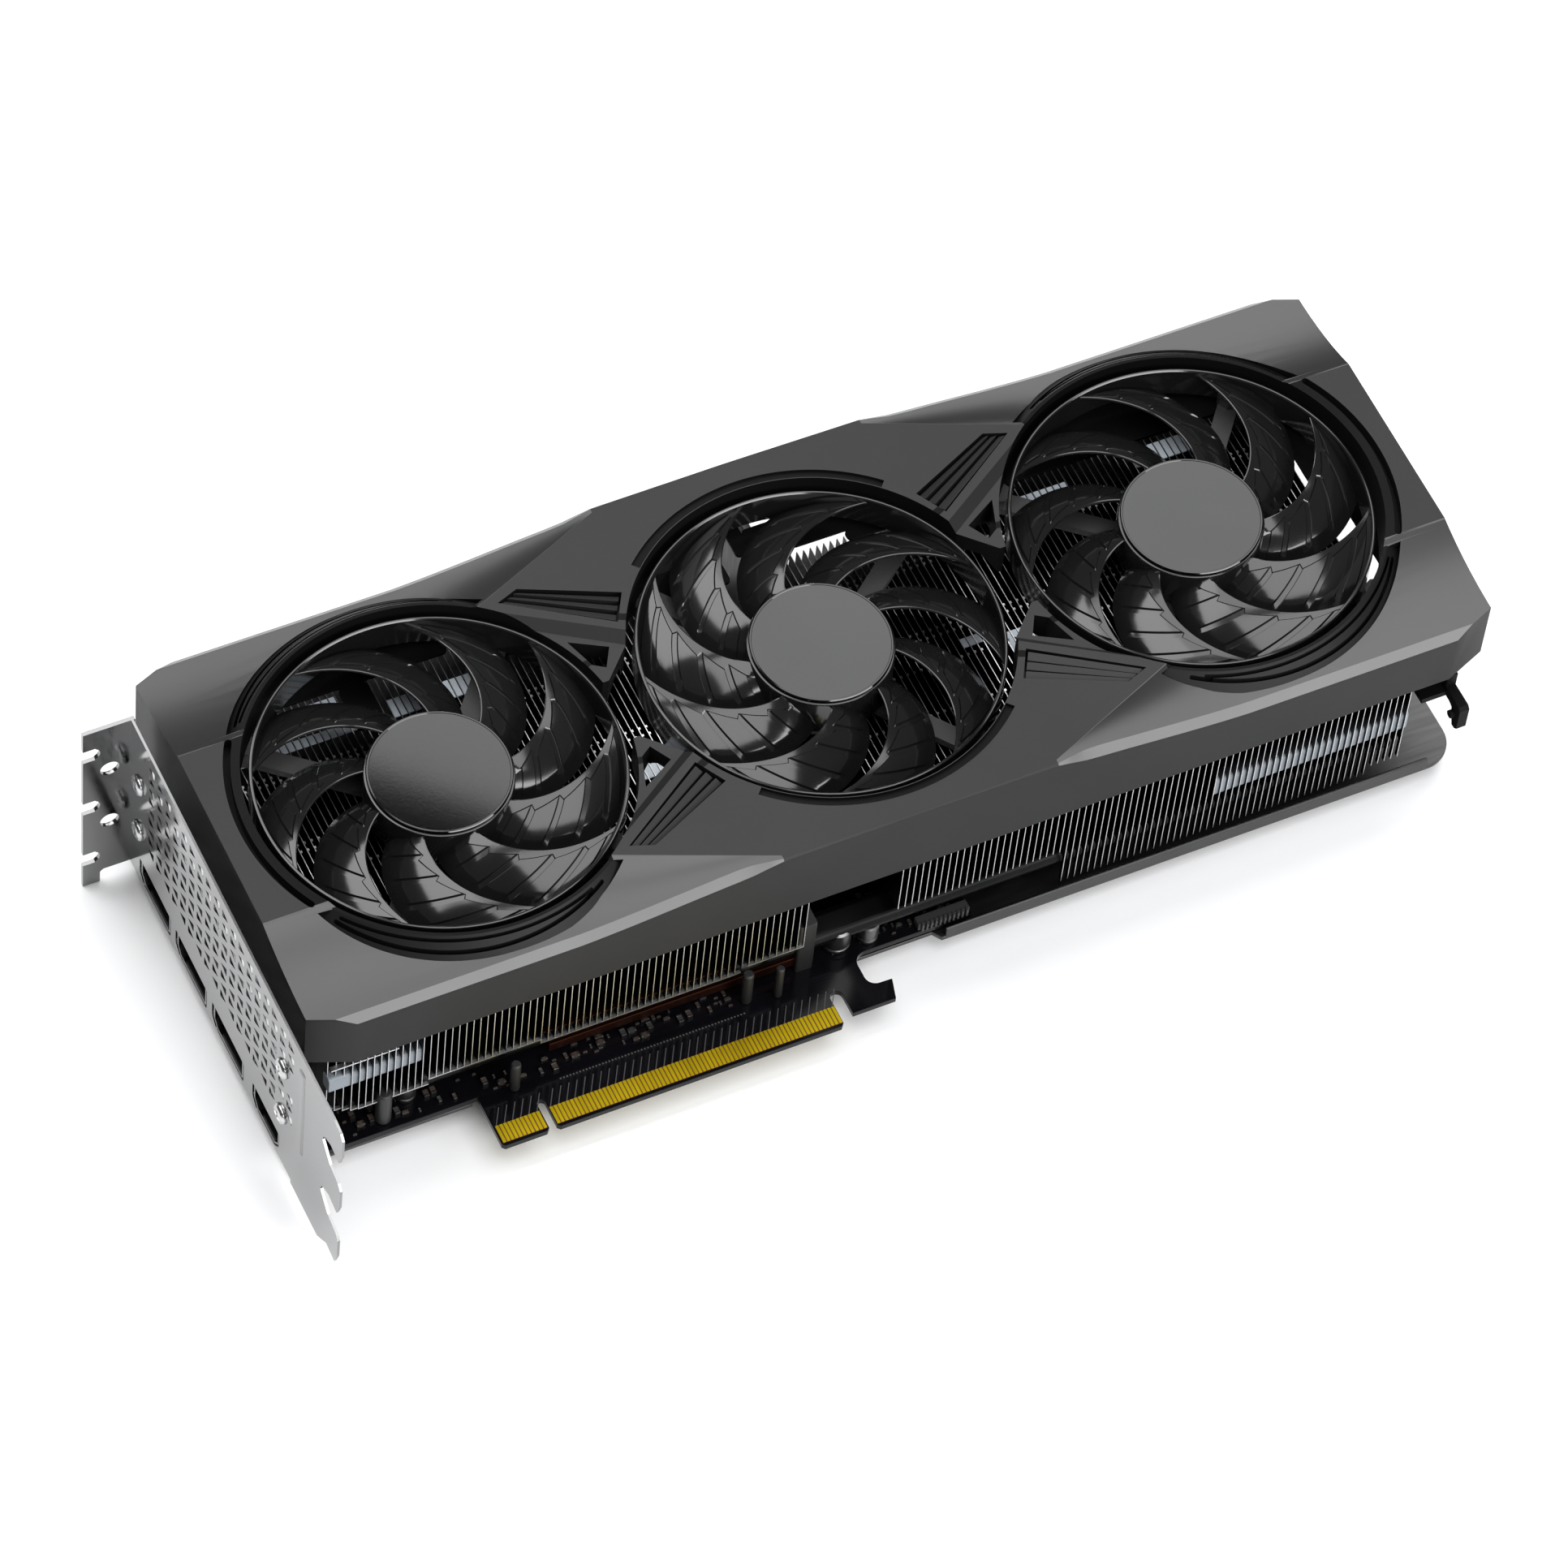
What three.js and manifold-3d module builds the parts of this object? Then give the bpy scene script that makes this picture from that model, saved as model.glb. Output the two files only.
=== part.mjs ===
// Three-fan graphics card, three slots thick.
// Millimetres. +X runs along the card away from the slot bracket, +Y from the contact edge
// to the opposite long edge, +Z from the circuit board up to the fans.
// Origin: middle of the long contact edge, at mid-thickness of the circuit board.

import * as THREE from 'three';
import { ConvexGeometry } from 'three/addons/geometries/ConvexGeometry.js';
import { mergeVertices } from 'three/addons/utils/BufferGeometryUtils.js';
import Module from 'manifold-3d';

const wasm = await Module();
wasm.setup();

// ---------------------------------------------------------------- driving dimensions

const SLOT_PITCH = 20.32;
const GAP = 0.3;                    // clearance left around a piece that another one surrounds

const CENTRE = { x: 56.5, y: 66.1 };          // middle fan axis; the shroud is symmetric about it
const FAN_PITCH = 94.1;

const BOARD = {
  thickness: 1.57, left: -93.4, right: 75.5, top: 111.2,
  lowerEdge: 14, rightLowerEdge: 16.5,          // left and right of the contact edge
};
const BOARD_TOP = BOARD.thickness / 2;

const SHROUD = {
  halfLength: 147, halfWidth: 52.4,
  cornerX: 10.5, cornerY: 4.2,      // the cut-off corners, in plan
  top: 55.8, wallBottom: 34.4,
  slopeEdge: 51.4,                  // height of the sloped flanks at their outer edge
  chamfer: 1.7, wall: 2.2,
  openingRadius: 44.4, collarRadius: 45.6, collarTop: 55.2, ductBottom: 44,
};

const FAN = {
  ringOuter: 42.4, ringInner: 41.5, ringTop: 53.8, ringBottom: 45,
  hubRadius: 17, hubTop: 52.4, hubBottom: 42, hubRoof: 50.6,
  capRadius: 16.5, capThickness: 0.9,
  blades: 9, bladeTop: 53, rootDrop: 1, bladeDepth: 7.2, bladeThickness: 1.1,
  bladeChord: 30, bladeSweep: 43,               // degrees about the fan's axis
  frameBottom: 39, frameThickness: 2,
};
// The motor inside the hub: magnet ring and shaft turn, stator and bearing sit on the frame.
const MOTOR = {
  shaftRadius: 1, bearingBore: 1.1, bearingOuter: 2.3, postBore: 2.5, postOuter: 3.4,
  statorBore: 3.8, statorOuter: 12.8, magnetInner: 13.6, magnetOuter: 15, seatRadius: 15.6,
};
// Sense is the turning direction seen from above, phase the polar angle of one blade tip.
const FANS = [
  { name: 'fan_1', offset: -FAN_PITCH, sense: 1, phase: 38, strutAngle: 50 },
  { name: 'fan_2', offset: 0, sense: -1, phase: 10, strutAngle: 38 },
  { name: 'fan_3', offset: FAN_PITCH, sense: 1, phase: 22, strutAngle: 50 },
];

const FINS = { pitch: 1.71, thickness: 0.35, base: 0.4, top: 38.4, front: 16.6, back: 115.6 };
const STACKS = [
  { name: 'fin_stack_left', start: -84.3, count: 69, bottom: 9.9 },
  { name: 'fin_stack_middle', start: 55.6, count: 25, bottom: 12 },
  { name: 'fin_stack_right', start: 98.3, count: 52, bottom: 0 },
];
const PIPES = {
  rows: [22, 34, 45, 56, 67, 78],
  halfWidth: 4, halfHeight: 2, z: 7.6, start: -72, end: 184,
};

const BRACKET = {
  outer: -95, thickness: 1, top: 107.1, flangeOuter: -106.6,
  low: -3.9, high: 51.3,
};
const PORTS = [
  { y: 27.3, width: 15 }, { y: 49, width: 18.2 }, { y: 70.2, width: 18.2 }, { y: 91.3, width: 18.2 },
];
const PORT = { height: 7.4, z: 0.9, depth: 14 };

const BACKPLATE = {
  bottom: -3.6, thickness: 1.2, left: -90, right: 202, front: 14.8, back: 117.4,
  cornerRadius: 8,
};

// ---------------------------------------------------------------- geometry helpers

function solid(geometry) {
  const bare = geometry.index ? geometry.toNonIndexed() : geometry.clone();
  bare.deleteAttribute('uv');
  bare.deleteAttribute('normal');
  const welded = mergeVertices(bare, 1e-4);
  return new wasm.Manifold(new wasm.Mesh({
    numProp: 3,
    vertProperties: new Float32Array(welded.attributes.position.array),
    triVerts: new Uint32Array(welded.index.array),
  }));
}

function union(parts) {
  return parts.reduce((sum, part) => sum.add(part));
}

function cut(body, cutters) {
  return cutters.reduce((rest, cutter) => rest.subtract(cutter), body);
}

function outline(points) {
  return new THREE.Shape(points.map(([x, y]) => new THREE.Vector2(x, y)));
}

// A plan outline raised from z0 to z1.
function prism(shape, z0, z1, curveSegments = 12) {
  const settings = { depth: z1 - z0, bevelEnabled: false, curveSegments };
  return solid(new THREE.ExtrudeGeometry(shape, settings).translate(0, 0, z0));
}

function box(x0, x1, y0, y1, z0, z1) {
  const geometry = new THREE.BoxGeometry(x1 - x0, y1 - y0, z1 - z0);
  return solid(geometry.translate((x0 + x1) / 2, (y0 + y1) / 2, (z0 + z1) / 2));
}

function cylinder(radius, z0, z1, x = 0, y = 0, segments = 48) {
  const geometry = new THREE.CylinderGeometry(radius, radius, z1 - z0, segments);
  return solid(geometry.rotateX(Math.PI / 2).translate(x, y, (z0 + z1) / 2));
}

// A ring of rectangular section around a vertical axis.
function tube(inner, outer, z0, z1, segments = 36) {
  const profile = [[inner, z0], [outer, z0], [outer, z1], [inner, z1], [inner, z0]];
  const geometry = new THREE.LatheGeometry(profile.map(([r, z]) => new THREE.Vector2(r, z)), segments);
  return solid(geometry.rotateX(Math.PI / 2));
}

function hull(points) {
  return solid(new ConvexGeometry(points.map(([x, y, z]) => new THREE.Vector3(x, y, z))));
}

// Extrudes a shape drawn in (y, z) from x0 to x1.
function prismAlongX(shape, x0, x1, curveSegments = 6) {
  const settings = { depth: x1 - x0, bevelEnabled: false, curveSegments };
  const axes = new THREE.Matrix4().set(0, 0, 1, x0, 1, 0, 0, 0, 0, 1, 0, 0, 0, 0, 0, 1);
  return solid(new THREE.ExtrudeGeometry(shape, settings).applyMatrix4(axes));
}

// Extrudes a shape drawn in (x, z) from y0 to y1.
function prismAlongY(shape, y0, y1) {
  const settings = { depth: y1 - y0, bevelEnabled: false, curveSegments: 6 };
  return solid(new THREE.ExtrudeGeometry(shape, settings).rotateX(Math.PI / 2).translate(0, y1, 0));
}

const card = new THREE.Group();
card.name = 'graphics_card';

const FINISHES = {
  shroud_plastic: { color: 0x3a3b3d, roughness: 0.55, metalness: 0.0 },
  fan_plastic: { color: 0x17181a, roughness: 0.3, metalness: 0.0 },
  cap_metal: { color: 0x4a4b4d, roughness: 0.4, metalness: 0.5 },
  steel: { color: 0xb9bbbd, roughness: 0.3, metalness: 0.9 },
  aluminium: { color: 0xc4c6c8, roughness: 0.35, metalness: 0.9 },
  nickel: { color: 0xd2d3d2, roughness: 0.18, metalness: 1.0 },
  copper: { color: 0xb5683c, roughness: 0.35, metalness: 1.0 },
  board: { color: 0x101113, roughness: 0.45, metalness: 0.0 },
  gold: { color: 0xd9a520, roughness: 0.3, metalness: 1.0 },
  chip: { color: 0x1d1e20, roughness: 0.5, metalness: 0.0 },
  silicon: { color: 0x3b4148, roughness: 0.15, metalness: 0.4 },
  ferrite: { color: 0x2b2c2e, roughness: 0.7, metalness: 0.0 },
  dark_metal: { color: 0x2f3032, roughness: 0.45, metalness: 0.6 },
  connector_plastic: { color: 0x0d0d0e, roughness: 0.5, metalness: 0.0 },
};

function addPiece(name, body, finish) {
  const mesh = body.getMesh();
  const geometry = new THREE.BufferGeometry();
  geometry.setAttribute('position', new THREE.BufferAttribute(new Float32Array(mesh.vertProperties), 3));
  geometry.setIndex(new THREE.BufferAttribute(new Uint32Array(mesh.triVerts), 1));
  const piece = new THREE.Mesh(geometry, new THREE.MeshStandardMaterial(FINISHES[finish]));
  piece.name = name;
  card.add(piece);
}

// ---------------------------------------------------------------- shroud

// Everything on the shroud repeats in four quadrants about its centre.
const QUADRANTS = [[-1, -1], [-1, 1], [1, -1], [1, 1]];

function inQuadrant([sx, sy], points) {
  return points.map(([x, y, ...rest]) => [CENTRE.x + sx * x, CENTRE.y + sy * y, ...rest]);
}

function shroudPlan(inset) {
  const x = SHROUD.halfLength - inset;
  const y = SHROUD.halfWidth - inset;
  const corner = [[x - SHROUD.cornerX, y], [x, y - SHROUD.cornerY]];
  const flip = (sx, sy) => corner.map(([px, py]) => [CENTRE.x + sx * px, CENTRE.y + sy * py]);
  return outline([...flip(1, 1), ...flip(1, -1).reverse(), ...flip(-1, -1), ...flip(-1, 1).reverse()]);
}

// Crease between the flat top and the sloped flank: along the card, then diagonally out.
const CREASE = { end: [150, 24], turn: [99, 24], apex: [34, 51] };
const VALLEY = { end: [150, 31], turn: [91, 33], height: 53.6 };
const FLANK = { outer: 57, turn: 83, overshootHeight: 50.7 };

function flankCutters(quadrant) {
  const top = SHROUD.top;
  const above = (points) => [...points, ...points.map(([x, y]) => [x, y, top + 5])];
  const creaseEnd = [...CREASE.end, top];
  const creaseTurn = [...CREASE.turn, top];
  const apex = [...CREASE.apex, top];
  const valleyEnd = [...VALLEY.end, VALLEY.height];
  const valleyTurn = [...VALLEY.turn, VALLEY.height];
  const outerEnd = [CREASE.end[0], FLANK.outer, FLANK.overshootHeight];
  const outerTurn = [FLANK.turn, FLANK.outer, FLANK.overshootHeight];
  const outerApex = [CREASE.apex[0], FLANK.outer, top];
  const past = ([x, y, z]) => [x - 0.05, y, z];       // neighbouring cutters overlap a little
  return [
    [creaseEnd, past(creaseTurn), valleyEnd, past(valleyTurn)],
    [valleyEnd, past(valleyTurn), outerEnd, past(outerTurn)],
    [creaseTurn, apex, valleyTurn],
    [valleyTurn, apex, outerTurn, outerApex],
  ].map((patch) => hull(inQuadrant(quadrant, above(patch))));
}

// The bevel that runs along the outer edge and follows it where the flank climbs.
function edgeChamferCutters(quadrant) {
  const edge = [[CREASE.end[0], SHROUD.slopeEdge], [FLANK.turn, SHROUD.slopeEdge],
    [CREASE.apex[0], SHROUD.top], [0, SHROUD.top]];
  const reach = SHROUD.chamfer + 0.5;
  const section = ([x, z]) => [
    [x, SHROUD.halfWidth + 0.5 - reach, z + 0.5],
    [x, SHROUD.halfWidth + 0.5, z + 0.5],
    [x, SHROUD.halfWidth + 0.5, z + 0.5 - reach],
  ];
  const lengths = edge.slice(1).map((station, i) => [...section(edge[i]), ...section(station)]);
  return lengths.map((points) => hull(inQuadrant(quadrant, points)));
}

// Bridge panels between two fans, for the left pair; the right pair mirrors them.
const LOUVRE = [[64.2, 35.8], [58.7, 37.8], [37, 28], [41.2, 20.8]];
const LOUVRE_SLITS = 3;
const TRIANGLE = [[53.4, 21.4], [45.1, 16.7], [48, 11.7], [50.7, 13.5]];
const STEP = { upper: [[70, 36.4], [38, 16.6]], lower: [[63, 29.6], [38, 13.6]], height: 53.5 };
const WAIST = [
  [57, -8.2], [49, -8.2], [41.5, -15.7], [36, -15.7],
  [36, 15.7], [41.5, 15.7], [49, 8.2], [57, 8.2],
];

function mix(a, b, t) {
  return a.map((value, i) => value + (b[i] - value) * t);
}

function bridgeBlock(quadrant) {
  const corners = [[66, 34], [60, 28], [53, 8.2], [49, 8.2], [41.5, 15.7], [36, 18], [40, 26]];
  return prism(outline(inQuadrant(quadrant, corners)), 51.2, SHROUD.top);
}

function bridgeCutters(quadrant) {
  const [wideTop, nearTop, nearEnd, wideEnd] = LOUVRE;
  const slits = Array.from({ length: LOUVRE_SLITS }, (_, i) => {
    const low = (i + 0.62) / LOUVRE_SLITS;
    const high = (i + 0.92) / LOUVRE_SLITS;
    return [
      mix(wideTop, nearTop, low), mix(wideTop, nearTop, high),
      mix(wideEnd, nearEnd, high), mix(wideEnd, nearEnd, low),
    ];
  });
  const slopeHigh = STEP.upper.map((p) => [...p, SHROUD.top]);
  const slopeLow = STEP.lower.map((p) => [...p, STEP.height]);
  const slopeLid = [...STEP.upper, ...STEP.lower].map((p) => [...p, SHROUD.top + 2]);
  const tip = [...STEP.lower, [38, 7], [63, 7]];
  return [
    prism(outline(inQuadrant(quadrant, LOUVRE)), SHROUD.top - 0.8, SHROUD.top + 1),
    ...slits.map((slit) => prism(outline(inQuadrant(quadrant, slit)), 50, SHROUD.top + 1)),
    hull(inQuadrant(quadrant, [...slopeHigh, ...slopeLow, ...slopeLid])),
    prism(outline(inQuadrant(quadrant, tip)), STEP.height, SHROUD.top + 2),
    prism(outline(inQuadrant(quadrant, TRIANGLE)), 50, SHROUD.top + 1),
  ];
}

// Shallow crescent beside the outer fans' collars, and the curved slot at the card's ends.
const CRESCENT = { radius: 44.2, shiftX: 1.6, shiftY: 5, floor: 50.4 };
const END_SLOT = { inner: 46.1, outer: 47.8, halfAngle: 29.6, depth: 1.2 };

function crescentCutter([sx, sy]) {
  const x = CENTRE.x + sx * (FAN_PITCH + CRESCENT.shiftX);
  return cylinder(CRESCENT.radius, CRESCENT.floor, SHROUD.top + 1, x, CENTRE.y + sy * CRESCENT.shiftY, 32);
}

function endSlotCutter(side) {
  const facing = side > 0 ? 0 : Math.PI;
  const spread = THREE.MathUtils.degToRad(END_SLOT.halfAngle);
  const shape = new THREE.Shape();
  shape.absarc(0, 0, END_SLOT.outer, facing - spread, facing + spread, false);
  shape.absarc(0, 0, END_SLOT.inner, facing + spread, facing - spread, true);
  return prism(shape, SHROUD.top - END_SLOT.depth, SHROUD.top + 1, 10)
    .translate([CENTRE.x + side * FAN_PITCH, CENTRE.y, 0]);
}

// The shell is hollow right up under its flat top, inside the creases.
const FLAT_HOLLOW = [[144.8, 21.5], [98.5, 21.5], [34.5, 48.5]];

function buildShroud() {
  const quarters = QUADRANTS.map((quadrant) => inQuadrant(quadrant, FLAT_HOLLOW));
  const [frontLeft, backLeft, frontRight, backRight] = quarters;
  const flatHollow = outline([...frontLeft, ...frontRight.reverse(), ...backRight, ...backLeft.reverse()]);
  const cavity = union([
    prism(shroudPlan(SHROUD.wall), 30, SHROUD.slopeEdge - 2.4),
    prism(flatHollow, 30, SHROUD.top - SHROUD.wall),
  ]);
  const shell = cut(prism(shroudPlan(0), SHROUD.wallBottom, SHROUD.top), [
    ...QUADRANTS.flatMap(flankCutters),
    ...QUADRANTS.flatMap(edgeChamferCutters),
    ...QUADRANTS.map(crescentCutter),
    cavity,
  ]);
  const aboutFan = (fan, radius, z0, z1) => cylinder(radius, z0, z1, CENTRE.x + fan.offset, CENTRE.y, 36);
  const ducts = FANS.map((fan) => aboutFan(fan, SHROUD.collarRadius, SHROUD.ductBottom, SHROUD.collarTop));
  const openings = FANS.map((fan) => aboutFan(fan, SHROUD.openingRadius, 30, SHROUD.top + 5));
  const waists = [-1, 1].map((side) => prism(outline(inQuadrant([side, 1], WAIST)), 30, SHROUD.top + 5));
  return cut(union([shell, ...ducts, ...QUADRANTS.map(bridgeBlock)]), [
    ...openings, ...waists, ...QUADRANTS.flatMap(bridgeCutters), endSlotCutter(-1), endSlotCutter(1),
  ]);
}

// ---------------------------------------------------------------- fans

// Polar angle of a blade's leading edge: it leads towards the tip, faster further out.
function leadingEdgeAngle(radius) {
  const out = radius - FAN.hubRadius;
  const full = FAN.ringInner - FAN.hubRadius;
  const share = (1.2 * out + 0.02 * out * out) / (1.2 * full + 0.02 * full * full);
  return FAN.bladeSweep * (share - 1);
}

function buildBlade() {
  const chordSteps = 3;
  const spanSteps = 3;
  const geometry = new THREE.BoxGeometry(1, 1, 1, chordSteps, spanSteps, 1);
  const position = geometry.attributes.position;
  const inner = FAN.hubRadius - 0.8;
  const outer = FAN.ringInner + 0.5;
  for (let i = 0; i < position.count; i++) {
    const chord = position.getX(i) + 0.5;
    const radius = inner + (outer - inner) * (position.getY(i) + 0.5);
    const fall = FAN.bladeDepth * Math.sin(chord * Math.PI * 0.42) / Math.sin(Math.PI * 0.42);
    const angle = THREE.MathUtils.degToRad(leadingEdgeAngle(radius) - FAN.bladeChord * chord);
    const rootDrop = FAN.rootDrop * (0.5 - position.getY(i));
    const z = FAN.bladeTop - rootDrop - fall + (position.getZ(i) - 0.5) * FAN.bladeThickness;
    position.setXYZ(i, radius * Math.cos(angle), radius * Math.sin(angle), z);
  }
  return solid(geometry);
}

function buildRotor(fan) {
  const { hubRoof, hubBottom, hubTop, hubRadius } = FAN;
  const hubProfile = [
    [0, hubRoof + 1], [1.3, hubRoof + 1], [1.3, hubRoof], [15.4, hubRoof], [15.4, hubBottom],
    [hubRadius, hubBottom], [hubRadius, hubTop], [0, hubTop],
  ];
  const hubShape = new THREE.LatheGeometry(hubProfile.map(([r, z]) => new THREE.Vector2(r, z)), 27);
  const hub = solid(hubShape.rotateX(Math.PI / 2));
  const ring = tube(FAN.ringInner, FAN.ringOuter, FAN.ringBottom, FAN.ringTop, 27);
  const blade = buildBlade();
  const mirrored = fan.sense > 0 ? blade : blade.mirror([0, 1, 0]);
  const turned = (i) => mirrored.rotate([0, 0, fan.phase + i * 360 / FAN.blades]);
  const blades = Array.from({ length: FAN.blades }, (_, i) => turned(i));
  return union([hub, ring, ...blades]);
}

// Fixed spider under the rotor: motor seat, bearing tube and four struts with screw lugs.
function buildFrame(fan) {
  const z0 = FAN.frameBottom;
  const z1 = z0 + FAN.frameThickness;
  const reach = SHROUD.collarRadius - 0.6;
  const struts = Array.from({ length: 4 }, (_, i) => {
    const angle = fan.strutAngle + i * 90;
    const bar = box(12, reach, -2.4, 2.4, z0, z1);
    return union([bar, cylinder(3, z0, SHROUD.ductBottom - 0.02, reach, 0, 8)]).rotate([0, 0, angle]);
  });
  const seat = cylinder(MOTOR.seatRadius, z0, z1, 0, 0, 24);
  const post = cylinder(MOTOR.postOuter, z0, 47, 0, 0, 12);
  return union([seat, post, ...struts]).subtract(cylinder(MOTOR.postBore, z0 + 0.8, 48, 0, 0, 12));
}

function buildStator() {
  const teeth = 6;
  const shape = new THREE.Shape();
  for (let i = 0; i < teeth; i++) {
    const at = (radius, degrees) => {
      const angle = THREE.MathUtils.degToRad(i * 360 / teeth + degrees);
      return [radius * Math.cos(angle), radius * Math.sin(angle)];
    };
    const tip = MOTOR.statorOuter;
    const points = [
      at(6, -22), at(10.4, -9), at(10.4, -25), at(tip, -25),
      at(tip, 25), at(10.4, 25), at(10.4, 9), at(6, 22),
    ];
    points.forEach(([x, y], k) => (i === 0 && k === 0 ? shape.moveTo(x, y) : shape.lineTo(x, y)));
  }
  return prism(shape, 42, 47.2).subtract(cylinder(MOTOR.statorBore, 40, 50, 0, 0, 12));
}

function addFan(fan) {
  const place = (body) => body.translate([CENTRE.x + fan.offset, CENTRE.y, 0]);
  addPiece(`${fan.name}_rotor`, place(buildRotor(fan)), 'fan_plastic');
  const capBottom = FAN.hubTop + 0.02;
  const cap = cylinder(FAN.capRadius, capBottom, capBottom + FAN.capThickness, 0, 0, 36);
  const magnet = tube(MOTOR.magnetInner, MOTOR.magnetOuter, 42.6, 50.2, 24);
  const bearing = tube(MOTOR.bearingBore, MOTOR.bearingOuter, 40.2, 46.8, 12);
  addPiece(`${fan.name}_cap`, place(cap), 'cap_metal');
  addPiece(`${fan.name}_shaft`, place(cylinder(MOTOR.shaftRadius, 40.6, 51.2, 0, 0, 12)), 'steel');
  addPiece(`${fan.name}_magnet`, place(magnet), 'ferrite');
  addPiece(`${fan.name}_frame`, place(buildFrame(fan)), 'fan_plastic');
  addPiece(`${fan.name}_bearing`, place(bearing), 'copper');
  addPiece(`${fan.name}_stator`, place(buildStator()), 'copper');
}

// ---------------------------------------------------------------- cooler

// One row of upright fins whose folded feet join into a floor: drawn in (x, z), run along Y.
function buildStack({ start, count, bottom }) {
  const floor = bottom + FINS.base;
  const end = start + (count - 1) * FINS.pitch + FINS.thickness;
  const points = [[start, bottom], [end, bottom]];
  for (let i = count - 1; i >= 0; i--) {
    const x = start + i * FINS.pitch;
    points.push([x + FINS.thickness, FINS.top], [x, FINS.top]);
    if (i > 0) points.push([x, floor], [x - FINS.pitch + FINS.thickness, floor]);
  }
  return prismAlongY(outline(points), FINS.front, FINS.back);
}

function flatPipe(y) {
  const { halfWidth, halfHeight, z } = PIPES;
  const straight = halfWidth - halfHeight;
  const shape = new THREE.Shape();
  shape.absarc(y + straight, z, halfHeight, -Math.PI / 2, Math.PI / 2, false);
  shape.absarc(y - straight, z, halfHeight, Math.PI / 2, Math.PI * 1.5, false);
  return prismAlongX(shape, PIPES.start, PIPES.end);
}

// The right stack reaches down to the backplate, so the pipes run through an arch in its fins.
function pipeArch() {
  const reach = PIPES.halfWidth + GAP;
  const low = PIPES.rows[0] - reach;
  const high = PIPES.rows.at(-1) + reach;
  return box(90, 190, low, high, -1, PIPES.z + PIPES.halfHeight + GAP);
}

function addCooler() {
  for (const stack of STACKS) {
    const fins = buildStack(stack).intersect(prism(shroudPlan(SHROUD.wall + GAP), -1, SHROUD.top));
    addPiece(stack.name, stack.bottom < PIPES.z ? fins.subtract(pipeArch()) : fins, 'aluminium');
  }
  PIPES.rows.forEach((y, i) => addPiece(`heat_pipe_${i + 1}`, flatPipe(y), 'nickel'));
  const plateTop = PIPES.z - PIPES.halfHeight - 0.02;
  addPiece('cold_plate', box(-30, 36, 18, 84, GPU.dieTop + 0.1, plateTop), 'nickel');
}

// ---------------------------------------------------------------- board and its components

// Key notch and retention notch are measured along the contact edge.
const CONTACT_EDGE = { longHalf: 35.575, keyWidth: 1.9, shortLength: 11.65, keyDepth: 7.25 };
const RETENTION = { notchWidth: 3.1, notchDepth: 7.7, hookEnd: 51 };

function buildBoard() {
  const { longHalf, keyWidth, shortLength, keyDepth } = CONTACT_EDGE;
  const keyLeft = -longHalf - keyWidth;
  const tip = 0.7;
  const shape = new THREE.Shape();
  shape.moveTo(BOARD.left, BOARD.top);
  for (const { y, width } of PORTS.toReversed()) {
    const [y0, y1] = [y - width / 2 + 0.4, y + width / 2 - 0.4];
    const depth = BRACKET.outer + PORT.depth + 0.8;
    const notch = [[BOARD.left, y1], [depth, y1], [depth, y0], [BOARD.left, y0]];
    notch.forEach(([px, py]) => shape.lineTo(px, py));
  }
  shape.lineTo(BOARD.left, BOARD.lowerEdge);
  shape.lineTo(keyLeft - shortLength, BOARD.lowerEdge);
  shape.lineTo(keyLeft - shortLength, tip);
  shape.lineTo(keyLeft - shortLength + tip, 0);
  shape.lineTo(keyLeft - tip, 0);
  shape.lineTo(keyLeft, tip);
  shape.lineTo(keyLeft, keyDepth);
  shape.absarc(keyLeft + keyWidth / 2, keyDepth, keyWidth / 2, Math.PI, 0, true);
  shape.lineTo(-longHalf, tip);
  shape.lineTo(-longHalf + tip, 0);
  shape.lineTo(longHalf - tip, 0);
  shape.lineTo(longHalf, tip);
  const notchRadius = RETENTION.notchWidth / 2;
  shape.absarc(longHalf + notchRadius, RETENTION.notchDepth, notchRadius, Math.PI, 0, true);
  shape.lineTo(longHalf + RETENTION.notchWidth, 2.2);
  shape.lineTo(RETENTION.hookEnd - 1.5, 2.2);
  shape.lineTo(RETENTION.hookEnd, 7.4);
  shape.lineTo(RETENTION.hookEnd - 3, 7.5);
  shape.absarc(RETENTION.hookEnd - 3.1, 10.1, 2.6, -Math.PI / 2, Math.PI, true);
  shape.lineTo(RETENTION.hookEnd - 5.7, 13.5);
  shape.absarc(RETENTION.hookEnd - 2.7, 13.5, 3, Math.PI, Math.PI / 2, true);
  shape.lineTo(BOARD.right, BOARD.rightLowerEdge);
  shape.lineTo(BOARD.right, BOARD.top);
  return prism(shape, -BOARD_TOP, BOARD_TOP, 6);
}

const GPU = { x: 3, y: 56, half: 21, dieHalf: 11, packageTop: 1.9, dieTop: 2.7 };
const MEMORY = { halfX: 7, halfY: 6, top: 1.885 };
const CHOKE = { halfX: 5, halfY: 4.5, top: 5.2 };
const MEMORY_SITES = [[-29, 72], [-29, 56], [-29, 40], [35, 40], [35, 56], [35, 72]];
const CHOKE_SITES = [[-52, 96], [-52, 84], [60, 96], [60, 84]];

// A gold strip lies just proud of the board on the component side.
function contactStrip(x0, x1) {
  return box(x0, x1, 0.8, 5.7, BOARD_TOP + 0.01, BOARD_TOP + 0.08);
}

function buildPowerConnector() {
  const shell = box(44, 62.5, 104, 118.4, BOARD_TOP + 0.02, 9.2);
  const socket = box(45.2, 61.3, 108, 120, 2.2, 7.9);
  return shell.subtract(socket);
}

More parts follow.
